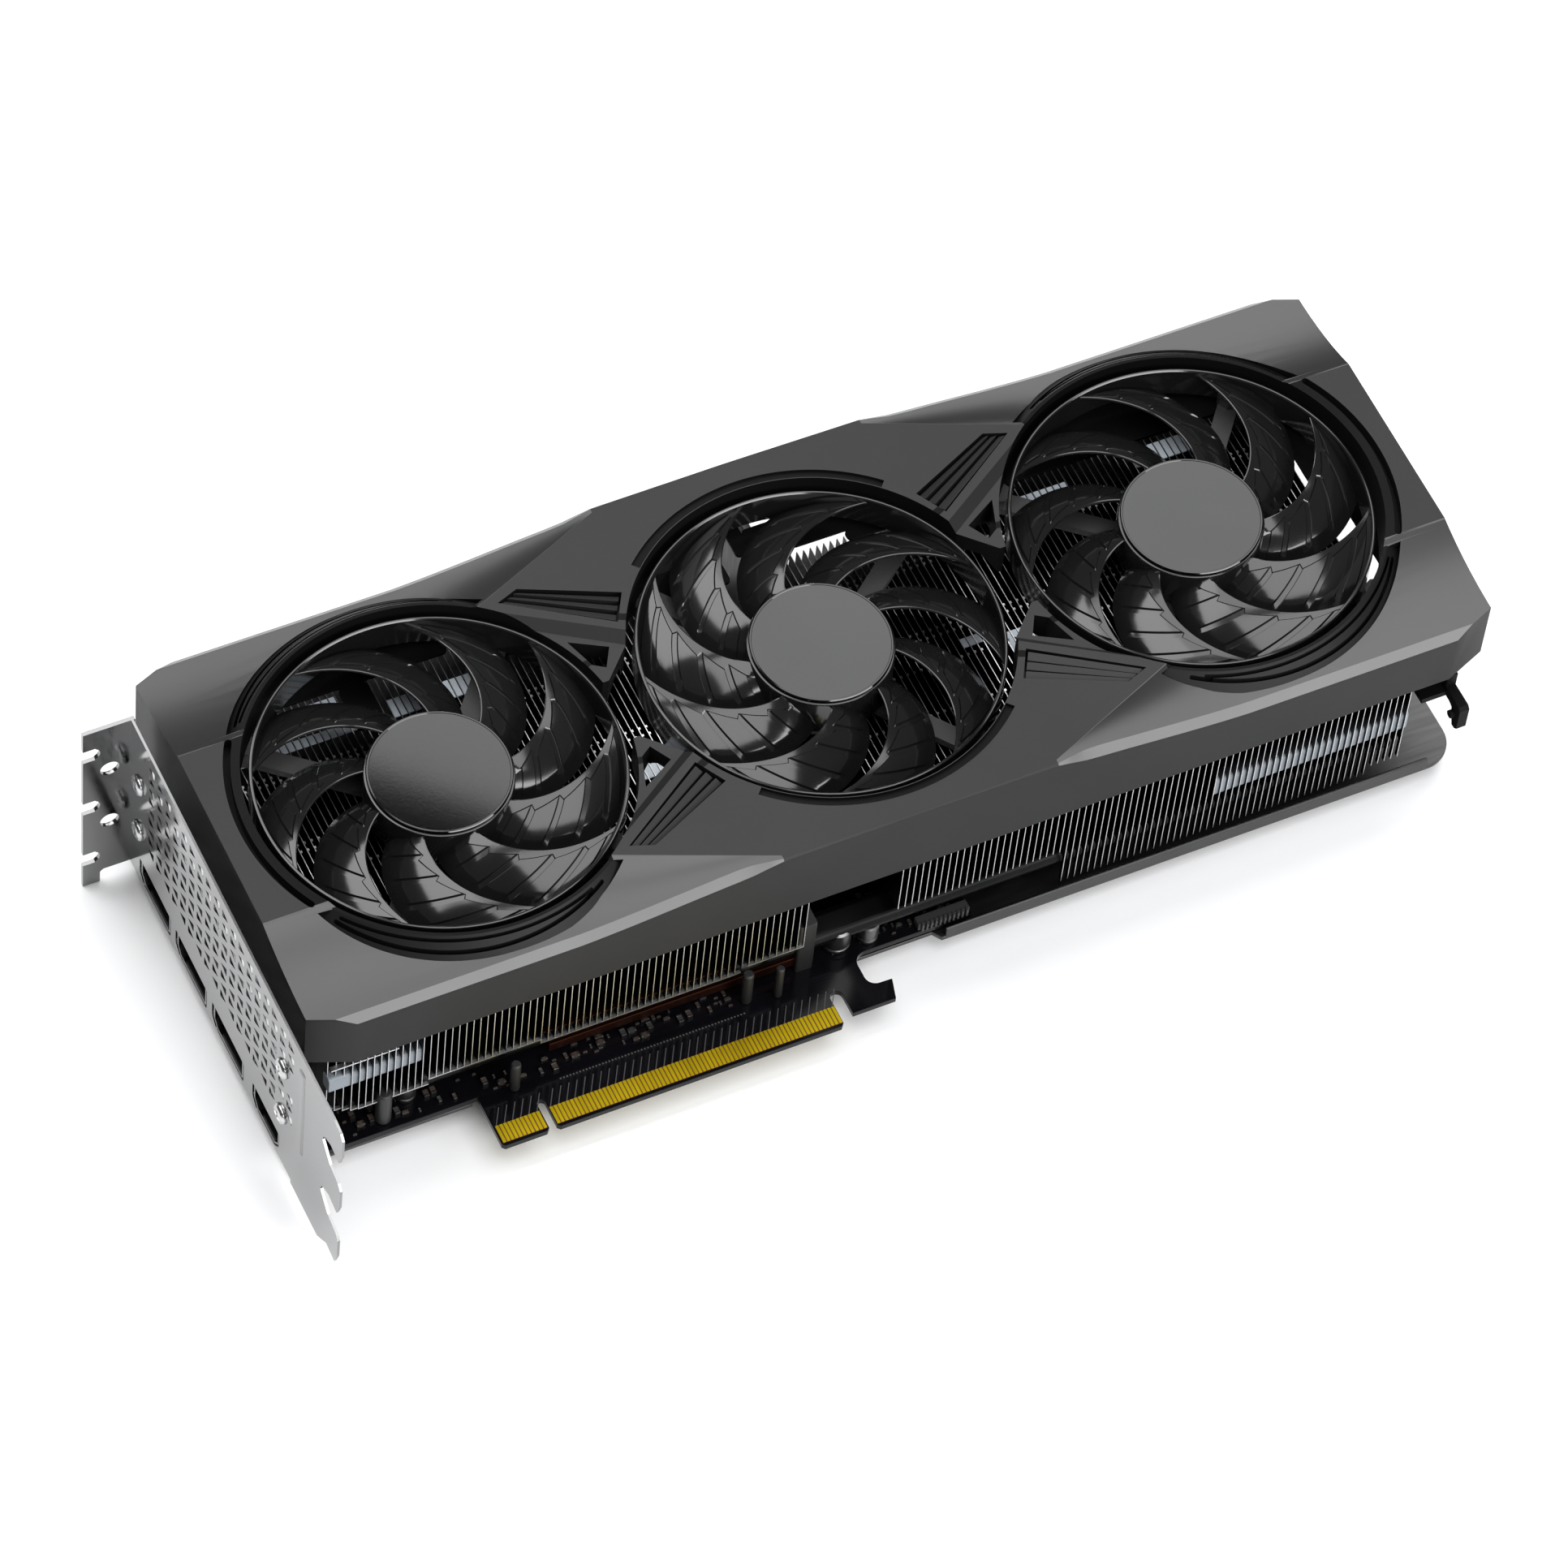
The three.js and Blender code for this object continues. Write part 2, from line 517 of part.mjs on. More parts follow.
function addBoard() {
  addPiece('circuit_board', buildBoard(), 'board');
  const { longHalf, keyWidth, shortLength } = CONTACT_EDGE;
  const keyLeft = -longHalf - keyWidth;
  addPiece('contacts_long', contactStrip(-longHalf + 0.2, longHalf - 0.2), 'gold');
  addPiece('contacts_short', contactStrip(keyLeft - shortLength + 0.2, keyLeft - 0.2), 'gold');
  const seat = BOARD_TOP + 0.02;
  const block = (x, y, halfX, halfY, z0, z1) => box(x - halfX, x + halfX, y - halfY, y + halfY, z0, z1);
  const { half, dieHalf, packageTop, dieTop } = GPU;
  addPiece('gpu_package', block(GPU.x, GPU.y, half, half, seat, packageTop), 'board');
  addPiece('gpu_die', block(GPU.x, GPU.y, dieHalf, dieHalf, packageTop + 0.02, dieTop), 'silicon');
  MEMORY_SITES.forEach(([x, y], i) => {
    addPiece(`memory_chip_${i + 1}`, block(x, y, MEMORY.halfX, MEMORY.halfY, seat, MEMORY.top), 'chip');
  });
  CHOKE_SITES.forEach(([x, y], i) => {
    addPiece(`choke_${i + 1}`, block(x, y, CHOKE.halfX, CHOKE.halfY, seat, CHOKE.top), 'ferrite');
  });
  addPiece('power_connector', buildPowerConnector(), 'connector_plastic');
}

// ---------------------------------------------------------------- slot bracket and backplate

// One locating tongue per slot, in (y, z).
const TONGUE = [
  [-3.5, -2.3], [-7, -0.9], [-11.5, -1.8], [-12.8, 2.3],
  [-12.8, 8.5], [-11.5, 10], [-7, 11.2], [-2.7, 15.5],
];
const VENTS = {
  columns: 18, rows: 9, y: 15, z: 14.7, pitchY: 4.65, pitchZ: 4,
  halfWidth: 1.35, halfHeight: 1.15,
};
const BRACKET_SCREWS = [[19, 33.2], [19, 14.8], [101.3, 32.4], [101.3, 14.6]];

function ventTriangles() {
  const holes = [];
  for (let column = 0; column < VENTS.columns; column++) {
    for (let row = 0; row < VENTS.rows; row++) {
      const y = VENTS.y + column * VENTS.pitchY;
      const z = VENTS.z + row * VENTS.pitchZ;
      const point = (column + row) % 2 ? 1 : -1;
      const screwNear = BRACKET_SCREWS.some(([sy, sz]) => Math.hypot(sy - y, sz - z) < 5);
      if (screwNear) continue;
      const base = y - point * VENTS.halfWidth;
      const tip = y + point * VENTS.halfWidth;
      holes.push([[base, z - VENTS.halfHeight], [tip, z], [base, z + VENTS.halfHeight]]);
    }
  }
  return holes;
}

function buildBracketPlate() {
  const { top, low, high } = BRACKET;
  const edge = [[top, high], [top, low], [13, low], [13, -5.2], [-2, -5.2]];
  for (let slot = 0; slot < 3; slot++) {
    const isLast = slot === 2;
    const tongue = TONGUE.map(([y, z]) => [y, z + slot * SLOT_PITCH]);
    edge.push(...tongue.slice(slot === 0 ? 1 : 0, isLast ? 6 : 8));
  }
  edge.push([-8, high]);
  const [x0, x1] = [BRACKET.outer - 1, BRACKET.outer + BRACKET.thickness + 1];
  const windows = PORTS.map(({ y, width }) => box(x0, x1, y - width / 2, y + width / 2,
    PORT.z - PORT.height / 2, PORT.z + PORT.height / 2));
  const vents = ventTriangles().map((triangle) => prismAlongX(outline(triangle), x0, x1));
  const screwHole = cylinder(1.6, x0, x1, 0, 0, 10).rotate([0, 90, 0]);
  const screwHoles = BRACKET_SCREWS.map(([y, z]) => screwHole.translate([0, y, z]));
  const plate = prismAlongX(outline(edge), BRACKET.outer, BRACKET.outer + BRACKET.thickness);
  return cut(plate, [...windows, ...vents, ...screwHoles]);
}

// The flange carries a screw notch per slot and runs on into a narrow tail.
const FLANGE = {
  notchDepth: 4.2, notchWidth: 4.3, firstNotch: 2,
  holeX: -100.1, holeRadius: 2.3, holes: [14.9, 35.3], tailLow: -8.4,
};

function buildFlange() {
  const { outer, flangeOuter, top, low, high } = BRACKET;
  const inner = outer + BRACKET.thickness;
  const neck = flangeOuter + FLANGE.notchDepth;
  const points = [
    [inner, high], [inner, low], [neck + 0.8, low], [neck, low - 0.8],
    [neck, FLANGE.tailLow], [flangeOuter, FLANGE.tailLow],
  ];
  for (let slot = 0; slot < 3; slot++) {
    const z = FLANGE.firstNotch + slot * SLOT_PITCH;
    const half = FLANGE.notchWidth / 2;
    points.push([flangeOuter, z - half], [neck, z - half], [neck, z + half], [flangeOuter, z + half]);
  }
  points.push([flangeOuter, high]);
  const shape = outline(points);
  for (const z of FLANGE.holes) {
    const hole = new THREE.Path();
    hole.absarc(FLANGE.holeX, z, FLANGE.holeRadius, 0, 2 * Math.PI, false);
    shape.holes.push(hole);
  }
  return prismAlongY(shape, top - BRACKET.thickness, top);
}

function buildBracketScrew([y, z]) {
  const profile = [[0, -3.6], [1.3, -3.6], [1.3, 0.02], [2.6, 0.02], [2.2, 1.1], [0, 1.1]];
  const shape = new THREE.LatheGeometry(profile.map(([r, x]) => new THREE.Vector2(r, x)), 14);
  const recess = union([box(-1.6, 1.6, -0.3, 0.3, 0.5, 2), box(-0.3, 0.3, -1.6, 1.6, 0.5, 2)]);
  const screw = solid(shape.rotateX(Math.PI / 2)).subtract(recess);
  return screw.rotate([0, -90, 0]).translate([BRACKET.outer, y, z]);
}

function buildPort(port) {
  const x0 = BRACKET.outer + 0.2;
  const halfWidth = port.width / 2 - 0.9;
  const halfHeight = PORT.height / 2 - 0.9;
  const inset = (from, to, side, height) => box(x0 + from, x0 + to, port.y - halfWidth + side,
    port.y + halfWidth - side, PORT.z - height, PORT.z + height);
  const shell = inset(0, PORT.depth, 0, halfHeight);
  const mouth = inset(-1, 10, 0.5, halfHeight - 0.5);
  const tongue = inset(0.8, 10.5, 2.5, 0.5);
  return shell.subtract(mouth).add(tongue);
}

function addBracket() {
  addPiece('io_bracket', union([buildBracketPlate(), buildFlange()]), 'steel');
  PORTS.forEach((port, i) => addPiece(`video_port_${i + 1}`, buildPort(port), 'steel'));
  BRACKET_SCREWS.forEach((site, i) => addPiece(`bracket_screw_${i + 1}`, buildBracketScrew(site), 'steel'));
}

// Flow-through slots let the air from the last fan out of the back.
const FLOW_SLOTS = { count: 6, first: 34, pitch: 12.8, halfWidth: 4.2, start: 110, end: 184 };
const LIP = { start: 67.5, end: 193.5, top: 0.4, thickness: 1.2 };

function buildBackplate() {
  const { left, right, front, back, bottom, thickness, cornerRadius: corner } = BACKPLATE;
  const shape = new THREE.Shape();
  shape.moveTo(left, front);
  shape.lineTo(-50, front);
  shape.lineTo(-48.6, 17);
  shape.lineTo(66, 17);
  shape.lineTo(LIP.start, front);
  shape.absarc(right - corner, front + corner, corner, -Math.PI / 2, 0, false);
  shape.absarc(right - corner, back - corner, corner, 0, Math.PI / 2, false);
  shape.lineTo(left, back);
  for (let i = 0; i < FLOW_SLOTS.count; i++) {
    const y = FLOW_SLOTS.first + i * FLOW_SLOTS.pitch;
    const r = FLOW_SLOTS.halfWidth;
    const slot = new THREE.Path();
    slot.absarc(FLOW_SLOTS.end - r, y, r, -Math.PI / 2, Math.PI / 2, false);
    slot.absarc(FLOW_SLOTS.start + r, y, r, Math.PI / 2, Math.PI * 1.5, false);
    shape.holes.push(slot);
  }
  const lip = box(LIP.start + 1, LIP.end, front, front + LIP.thickness, bottom, LIP.top);
  return union([prism(shape, bottom, bottom + thickness, 4), lip]);
}

// Black angle at the card's far end. An arm below it reaches forward and ends in a hook that drops.
const TAIL_ARM = { left: 196.2, right: 198.7, front: 10.9, back: 26, bottom: 21.4, top: 23.9 };

function buildTailSupport() {
  const { left, right, front, back, bottom, top } = TAIL_ARM;
  const angle = box(196.4, 201.5, 20, 108, 27.5, 33.9);
  const post = box(left, right, 18, back, bottom, 28);
  const arm = box(left, right, front, back, bottom, top);
  const hook = hull([[left, front, top], [right, front, top], [right, front + 4, top], [left, front + 4, top],
    [left, front, 16.6], [right, front, 15.7], [right, front + 2.4, 15.7], [left, front + 2.4, 16.6]]);
  const bar = box(189.8, left + 1, 17.5, 21.5, bottom, bottom + 1.6);
  return union([angle, post, arm, hook, bar]);
}

// ---------------------------------------------------------------- assembly

addPiece('shroud', buildShroud(), 'shroud_plastic');
FANS.forEach(addFan);
addCooler();
addBoard();
addBracket();
addPiece('backplate', buildBackplate(), 'dark_metal');
addPiece('tail_support', buildTailSupport(), 'dark_metal');

export default card;
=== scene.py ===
"""Looks of the three-fan graphics card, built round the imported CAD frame.

Lengths are in millimetres and are scaled to metres where a mesh is made. +X runs away from the
slot bracket, +Y away from the contact edge, +Z up towards the fans.
"""

import math
import random

import bmesh
import bpy
from mathutils import Matrix, Vector


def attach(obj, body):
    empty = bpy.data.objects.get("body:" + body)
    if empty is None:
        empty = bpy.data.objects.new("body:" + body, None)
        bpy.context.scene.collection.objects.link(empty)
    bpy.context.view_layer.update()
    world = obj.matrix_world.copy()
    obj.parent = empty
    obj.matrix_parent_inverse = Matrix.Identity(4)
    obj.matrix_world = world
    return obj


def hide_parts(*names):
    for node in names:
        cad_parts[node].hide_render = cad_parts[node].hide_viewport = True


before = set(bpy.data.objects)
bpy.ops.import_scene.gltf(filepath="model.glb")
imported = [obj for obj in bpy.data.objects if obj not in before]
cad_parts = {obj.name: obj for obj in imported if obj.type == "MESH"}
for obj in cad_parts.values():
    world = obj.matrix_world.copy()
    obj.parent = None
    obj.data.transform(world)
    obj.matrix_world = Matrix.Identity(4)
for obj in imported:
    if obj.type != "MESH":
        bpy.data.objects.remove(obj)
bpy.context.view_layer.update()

MM = 0.001
CENTRE_X, CENTRE_Y = 56.5, 66.1     # axis of the middle fan; the shroud is symmetric about it
FAN_PITCH = 94.1


# -------------------- shapes

class Shape:
    """Closed surfaces in millimetres, gathered into one mesh."""

    def __init__(self):
        self.verts = []
        self.faces = []

    def add(self, verts, faces):
        start = len(self.verts)
        self.verts += [tuple(v) for v in verts]
        self.faces += [[start + i for i in face] for face in faces]
        return self

    def loft(self, rings, capped=True, closed=False):
        """Joins loops of equally many points; closed also joins the last loop to the first."""
        count = len(rings[0])
        verts = [point for ring in rings for point in ring]
        faces = []
        for r in range(len(rings) if closed else len(rings) - 1):
            a = r * count
            b = (r + 1) % len(rings) * count
            faces += [[a + i, a + (i + 1) % count, b + (i + 1) % count, b + i] for i in range(count)]
        if capped and not closed:
            faces.append(list(range(count))[::-1])
            faces.append([(len(rings) - 1) * count + i for i in range(count)])
        return self.add(verts, faces)

    def prism(self, outline, z0, z1):
        return self.loft([[(x, y, z) for x, y in outline] for z in (z0, z1)])

    def prism_x(self, outline, x0, x1):
        """Outline in (y, z), run along X."""
        return self.loft([[(x, y, z) for y, z in outline] for x in (x0, x1)])

    def prism_y(self, outline, y0, y1):
        """Outline in (x, z), run along Y."""
        return self.loft([[(x, y, z) for x, z in outline] for y in (y0, y1)])

    def box(self, x0, x1, y0, y1, z0, z1):
        return self.prism([(x0, y0), (x1, y0), (x1, y1), (x0, y1)], z0, z1)

    def turned(self, profile, x=0.0, y=0.0, segments=96, closed=False):
        """Profile of (radius, height) turned about a vertical axis."""
        rings = [[(*point, z) for point in circle(x, y, r, segments)] for r, z in profile]
        return self.loft(rings, closed=closed)

    def arc_band(self, inner, outer, z0, z1, centre, start, end):
        """Part of a flat ring, from one polar angle to another in degrees."""
        near = arc(*centre, inner, start, end, 40)
        far = arc(*centre, outer, start, end, 40)
        return self.prism(near + far[::-1], z0, z1)

    def placed(self, matrix):
        self.verts = [tuple(matrix @ Vector(v)) for v in self.verts]
        return self

    def join(self, other):
        return self.add(other.verts, other.faces)


def mix(a, b, t):
    return tuple(p + (q - p) * t for p, q in zip(a, b))


def rounded(points, radius, steps=4):
    """Replaces each corner of a closed outline with a small curve."""
    result = []
    for i, corner in enumerate(points):
        before, after = points[i - 1], points[(i + 1) % len(points)]
        reach_in = min(radius, math.dist(corner, before) * 0.45)
        reach_out = min(radius, math.dist(corner, after) * 0.45)
        start = mix(corner, before, reach_in / math.dist(corner, before))
        end = mix(corner, after, reach_out / math.dist(corner, after))
        for k in range(steps + 1):
            t = k / steps
            result.append(mix(mix(start, corner, t), mix(corner, end, t), t))
    return result


def circle(x, y, radius, segments=32):
    step = 2 * math.pi / segments
    return [(x + radius * math.cos(i * step), y + radius * math.sin(i * step)) for i in range(segments)]


def arc(x, y, radius, start, end, steps=8):
    angles = [math.radians(start + (end - start) * i / steps) for i in range(steps + 1)]
    return [(x + radius * math.cos(a), y + radius * math.sin(a)) for a in angles]


# -------------------- objects

def new_object(name, shape, material=None):
    mesh = bpy.data.meshes.new(name)
    mesh.from_pydata([[c * MM for c in v] for v in shape.verts], [], shape.faces)
    obj = bpy.data.objects.new(name, mesh)
    bpy.context.scene.collection.objects.link(obj)
    if material:
        mesh.materials.append(material)
    edit = bmesh.new()
    edit.from_mesh(mesh)
    bmesh.ops.recalc_face_normals(edit, faces=edit.faces)
    edit.to_mesh(mesh)
    edit.free()
    return obj


def apply_modifiers(obj):
    graph = bpy.context.evaluated_depsgraph_get()
    mesh = bpy.data.meshes.new_from_object(obj.evaluated_get(graph))
    old = obj.data
    obj.modifiers.clear()
    obj.data = mesh
    bpy.data.meshes.remove(old)


def combine(obj, shape, operation, crossing=False):
    """Cuts the shape away from the object, or joins it on; crossing if its own parts overlap."""
    tool = new_object("tool", shape)
    modifier = obj.modifiers.new("combine", "BOOLEAN")
    modifier.object = tool
    modifier.operation = operation
    modifier.solver = "EXACT"
    modifier.use_self = crossing
    apply_modifiers(obj)
    bpy.data.objects.remove(tool)


def soften(obj, width):
    """Merges flat facets, rounds the sharp edges and shades the result smooth."""
    edit = bmesh.new()
    edit.from_mesh(obj.data)
    bmesh.ops.remove_doubles(edit, verts=edit.verts, dist=0.00001)
    bmesh.ops.dissolve_limit(edit, angle_limit=math.radians(0.05), verts=edit.verts, edges=edit.edges)
    edit.to_mesh(obj.data)
    edit.free()
    bevel = obj.modifiers.new("bevel", "BEVEL")
    bevel.width = width * MM
    bevel.segments = 2
    bevel.limit_method = "ANGLE"
    bevel.angle_limit = math.radians(30)
    apply_modifiers(obj)
    shade(obj, 40)


def smooth(obj, angle):
    """Smooth shading, with an edge wherever two faces meet at more than the angle."""
    obj.data.polygons.foreach_set("use_smooth", [True] * len(obj.data.polygons))
    obj.data.set_sharp_from_angle(angle=math.radians(angle))


def shade(obj, angle):
    """Smooth shading that keeps broad faces flat and lets the narrow edge faces take the turn."""
    smooth(obj, angle)
    weighted = obj.modifiers.new("weighted", "WEIGHTED_NORMAL")
    weighted.keep_sharp = True
    weighted.weight = 80
    apply_modifiers(obj)


def settle(obj, body, slot, *nodes):
    """Rides the piece on its body and hides the CAD nodes it stands for; its finish slot is not used."""
    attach(obj, body)
    if nodes:
        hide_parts(*nodes)


def add_piece(name, shape, material, slot, *nodes, edge=None):
    """Piece fixed to the card, with rounded edges if a width is given for them."""
    piece = new_object(name, shape, material)
    if edge:
        soften(piece, edge)
    settle(piece, "card", slot, *nodes)


# -------------------- materials

class Nodes:
    """Short names for building one material."""

    def __init__(self, name):
        self.material = bpy.data.materials.new(name)
        self.material.use_nodes = True
        self.tree = self.material.node_tree
        self.shader = self.tree.nodes["Principled BSDF"]
        self.place = self.tree.nodes.new("ShaderNodeTexCoord").outputs["Object"]

    def node(self, kind, **inputs):
        node = self.tree.nodes.new(kind)
        for key, value in inputs.items():
            self.put(node.inputs[key.replace("_", " ")], value)
        return node

    def put(self, socket, value):
        if isinstance(value, bpy.types.NodeSocket):
            self.tree.links.new(value, socket)
        else:
            socket.default_value = value

    def noise(self, scale, detail=3.0, stretch=(1, 1, 1), roughness=0.5):
        mapping = self.node("ShaderNodeMapping", Vector=self.place, Scale=stretch)
        texture = self.node("ShaderNodeTexNoise", Vector=mapping.outputs[0], Scale=scale, Detail=detail,
                            Roughness=roughness)
        return texture.outputs["Fac"]

    def ramp(self, factor, stops):
        ramp = self.node("ShaderNodeValToRGB", Fac=factor)
        elements = ramp.color_ramp.elements
        while len(elements) < len(stops):
            elements.new(0.5)
        for element, (position, colour) in zip(elements, stops):
            element.position = position
            element.color = (*colour, 1)
        return ramp.outputs["Color"]

    def span(self, value, low, high):
        node = self.node("ShaderNodeMapRange", Value=value)
        node.inputs["To Min"].default_value = low
        node.inputs["To Max"].default_value = high
        return node.outputs[0]

    def bump(self, height, distance, strength):
        return self.node("ShaderNodeBump", Height=height, Distance=distance, Strength=strength).outputs[0]

    def set(self, **inputs):
        for key, value in inputs.items():
            self.put(self.shader.inputs[key.replace("_", " ")], value)
        return self.material


def grey(value):
    return (value, value * 1.005, value * 1.015)


def moulded_plastic(name, dark, light, roughness, grain, ior=1.5):
    """Injection-moulded plastic: spark-eroded grain, faint flow variation, slightly uneven gloss."""
    n = Nodes(name)
    flow = n.noise(14, 2)
    grain_height = n.noise(3200, 2, roughness=0.7)
    sheen = n.span(n.noise(45, 3), roughness * 0.92, roughness * 1.08)
    return n.set(Base_Color=n.ramp(flow, [(0.3, dark), (0.7, light)]), Roughness=sheen,
                 Normal=n.bump(grain_height, 0.00004, grain), IOR=ior)


def metal(name, dark, light, roughness, stretch, scale=400, depth=0.00001):
    """Metal with rolling or turning marks drawn out along one axis."""
    n = Nodes(name)
    marks = n.noise(scale, 4, stretch)
    clouds = n.noise(30, 3)
    return n.set(Base_Color=n.ramp(clouds, [(0.3, dark), (0.7, light)]), Metallic=1.0,
                 Roughness=n.span(marks, roughness * 0.75, roughness * 1.3),
                 Normal=n.bump(marks, depth, 0.4))


def fin_metal_painted_shade(name):
    """Thin aluminium with bright sheared edges; the broad sides facing along X are painted near-black as
    painted shade of the gaps between the fins.
    """
    n = Nodes(name)
    normal = n.node("ShaderNodeNewGeometry").outputs["Normal"]
    split = n.node("ShaderNodeSeparateXYZ", Vector=normal)
    side = n.node("ShaderNodeMath", Value=split.outputs["X"])
    side.operation = "ABSOLUTE"
    marks = n.noise(900, 3, (1, 1, 0.1))
    # painted shade: sides facing along X turn near-black, while the edges keep the bright aluminium colour
    colour = n.ramp(side.outputs[0], [(0.3, (0.7, 0.7, 0.71)), (0.7, (0.004, 0.004, 0.005))])
    return n.set(Base_Color=colour, Metallic=1.0, Roughness=n.span(marks, 0.3, 0.5),
                 Normal=n.bump(marks, 0.00001, 0.3))


def solder_mask(name):
    """Dark gloss lacquer over copper: faint raised tracks run at right angles under it."""
    n = Nodes(name)
    tracks = n.node("ShaderNodeTexBrick", Vector=n.place, Scale=260.0, Mortar_Size=0.03)
    tracks.inputs["Color1"].default_value = (0, 0, 0, 1)
    tracks.inputs["Color2"].default_value = (0.4, 0.4, 0.4, 1)
    tracks.inputs["Mortar"].default_value = (1, 1, 1, 1)
    clouds = n.noise(60, 3)
    colour = n.ramp(clouds, [(0.3, (0.002, 0.0018, 0.0025)), (0.7, (0.004, 0.0035, 0.005))])
    return n.set(Base_Color=colour, Roughness=n.span(clouds, 0.08, 0.16), IOR=1.25,
                 Normal=n.bump(tracks.outputs["Fac"], 0.00001, 0.15))


SHROUD_PLASTIC = moulded_plastic("shroud_charcoal", grey(0.011), grey(0.014), 0.5, 0.35, 1.37)
# darker copy of the shroud plastic for walls and hollows: painted shade
WALL_PLASTIC_PAINTED_SHADE = moulded_plastic("shroud_wall_painted_shade", grey(0.003), grey(0.005), 0.5, 0.35, 1.32)
FLANK_PLASTIC = moulded_plastic("shroud_satin", grey(0.014), grey(0.018), 0.3, 0.12, 1.62)
FAN_PLASTIC = moulded_plastic("fan_gloss_black", grey(0.006), grey(0.008), 0.12, 0.0, 1.6)
RIM_PLASTIC = moulded_plastic("shroud_rim_black", grey(0.003), grey(0.006), 0.55, 0.7, 1.17)
CONNECTOR_PLASTIC = moulded_plastic("connector_black", grey(0.01), grey(0.016), 0.45, 0.2)
CHIP = moulded_plastic("chip_resin", grey(0.02), grey(0.035), 0.5, 0.3)
CERAMIC = moulded_plastic("ceramic_parts", (0.02, 0.013, 0.01), (0.06, 0.04, 0.03), 0.5, 0.2)
AMBER = moulded_plastic("bare_laminate", (0.16, 0.05, 0.002), (0.24, 0.08, 0.004), 0.4, 0.2)
FERRITE = moulded_plastic("ferrite_grey", grey(0.03), grey(0.055), 0.6, 0.6)
SILICON = moulded_plastic("silicon_blue_grey", (0.03, 0.035, 0.045), (0.05, 0.055, 0.07), 0.12, 0.02)
STRUT_PLASTIC = moulded_plastic("strut_grey", grey(0.05), grey(0.075), 0.5, 0.6)
TRACK = moulded_plastic("covered_track", grey(0.05), grey(0.09), 0.35, 0.1)
DISC_METAL = metal("disc_satin_black", grey(0.05), grey(0.054), 0.06, (1, 1, 1), 1500, 0.000002)
STEEL = metal("bracket_steel", grey(0.225), grey(0.25), 0.13, (1, 0.06, 1), 300, 0.000001)
SCREW_STEEL = metal("screw_steel", grey(0.45), grey(0.6), 0.25, (1, 1, 1), 700)
# fin tabs: flat pale blue-white colour standing in for their reflection of the light, a painted reflection
TAB_PAINTED_REFLECTION = moulded_plastic("fin_tab_painted_reflection", (0.5, 0.56, 0.62), (0.62, 0.68, 0.74), 0.35, 0.1)
# front heat pipes: pale blue-grey diffuse colour in place of the nickel's reflection of the floor, a painted
# reflection
FRONT_PIPE_PAINTED_REFLECTION = moulded_plastic("pipe_painted_reflection", (0.2, 0.23, 0.26), (0.27, 0.3, 0.33), 0.35, 0.1)
# heat pipes under the shroud: nickel darkened to near-black, painted shade
PIPE_METAL = metal("nickel_shaded", grey(0.01), grey(0.016), 0.3, (0.1, 1, 1), 300)
COPPER = metal("copper_dull", (0.035, 0.011, 0.006), (0.055, 0.017, 0.01), 0.45, (1, 0.1, 1), 400)
GOLD = metal("contact_gold", (0.62, 0.5, 0.006), (0.78, 0.62, 0.012), 0.45, (1, 0.1, 1), 600, 0.000003)
TIN = metal("solder_tin", grey(0.1), grey(0.18), 0.35, (1, 1, 1), 500)
DARK_METAL = metal("backplate_dark", grey(0.07), grey(0.09), 0.38, (0.08, 1, 1), 900)
FIN_METAL_PAINTED_SHADE = fin_metal_painted_shade("fin_aluminium_painted_shade")
SOLDER_MASK = solder_mask("board_black")


# -------------------- shroud

TOP, WALL_BOTTOM = 55.8, 34.4
HALF_LENGTH, HALF_WIDTH = 147.0, 52.4
CORNER_X, CORNER_Y = 10.5, 4.2
OPENING_RADIUS, COLLAR_RADIUS, COLLAR_TOP, DUCT_BOTTOM = 44.4, 45.2, 55.2, 44.0
COLLAR_SLOPE, COLLAR_FALL = 49.6, 0.92      # outer radius of the collar's slope and its steepness
CREASE_Y, CREASE_TURN, CREASE_APEX = 24.0, 99.0, (34.0, 51.0)
EDGE_DROP, CLIMB_START = 4.4, 83.0
CHAMFER_FULL, CHAMFER_END = 42.0, 32.0      # the bevel narrows between these distances from the middle
CHAMFER, CHAMFER_LEAST = 2.3, 0.6
WALL_THICKNESS = 2.2
FLANK_END = 150.0                           # the cutters run past the shroud's end
CRESCENT_OFFSET, CRESCENT_RADIUS = (1.6, 5.0), 44.2
CRESCENT_FLOOR = 50.6
CRESCENT_GROOVES = [                        # centre, radius, width, start and end in degrees
    (CRESCENT_OFFSET, 42.7, 0.75, 33, 122),
    ((0, 0), 46.0, 0.6, 38, 113),
]
RECESS_RADIUS, RECESS_REACH = 46.7, 33.0    # ledge beside the middle fan
RECESS_HALF_ANGLE = 43
END_SLOT_RADIUS, END_SLOT_WIDTH, END_SLOT_HALF_ANGLE = 47.3, 1.7, 29.6
QUADRANTS = [(-1, -1), (-1, 1), (1, -1), (1, 1)]
FAN_CENTRES = [(CENTRE_X + k * FAN_PITCH, CENTRE_Y) for k in (-1, 0, 1)]


def in_quadrant(signs, points):
    return [(CENTRE_X + signs[0] * p[0], CENTRE_Y + signs[1] * p[1], *p[2:]) for p in points]


def shroud_plan(inset):
    x, y = HALF_LENGTH - inset, HALF_WIDTH - inset
    corner = [(x - CORNER_X, y), (x, y - CORNER_Y)]
    right = corner + [(px, -py) for px, py in corner[::-1]]
    loop = right + [(-px, -py) for px, py in right]
    return [(CENTRE_X + px, CENTRE_Y + py) for px, py in loop]


def crease_y(x):
    climb = max(0.0, (CREASE_TURN - x) / (CREASE_TURN - CREASE_APEX[0]))
    return CREASE_Y + (CREASE_APEX[1] - CREASE_Y) * climb


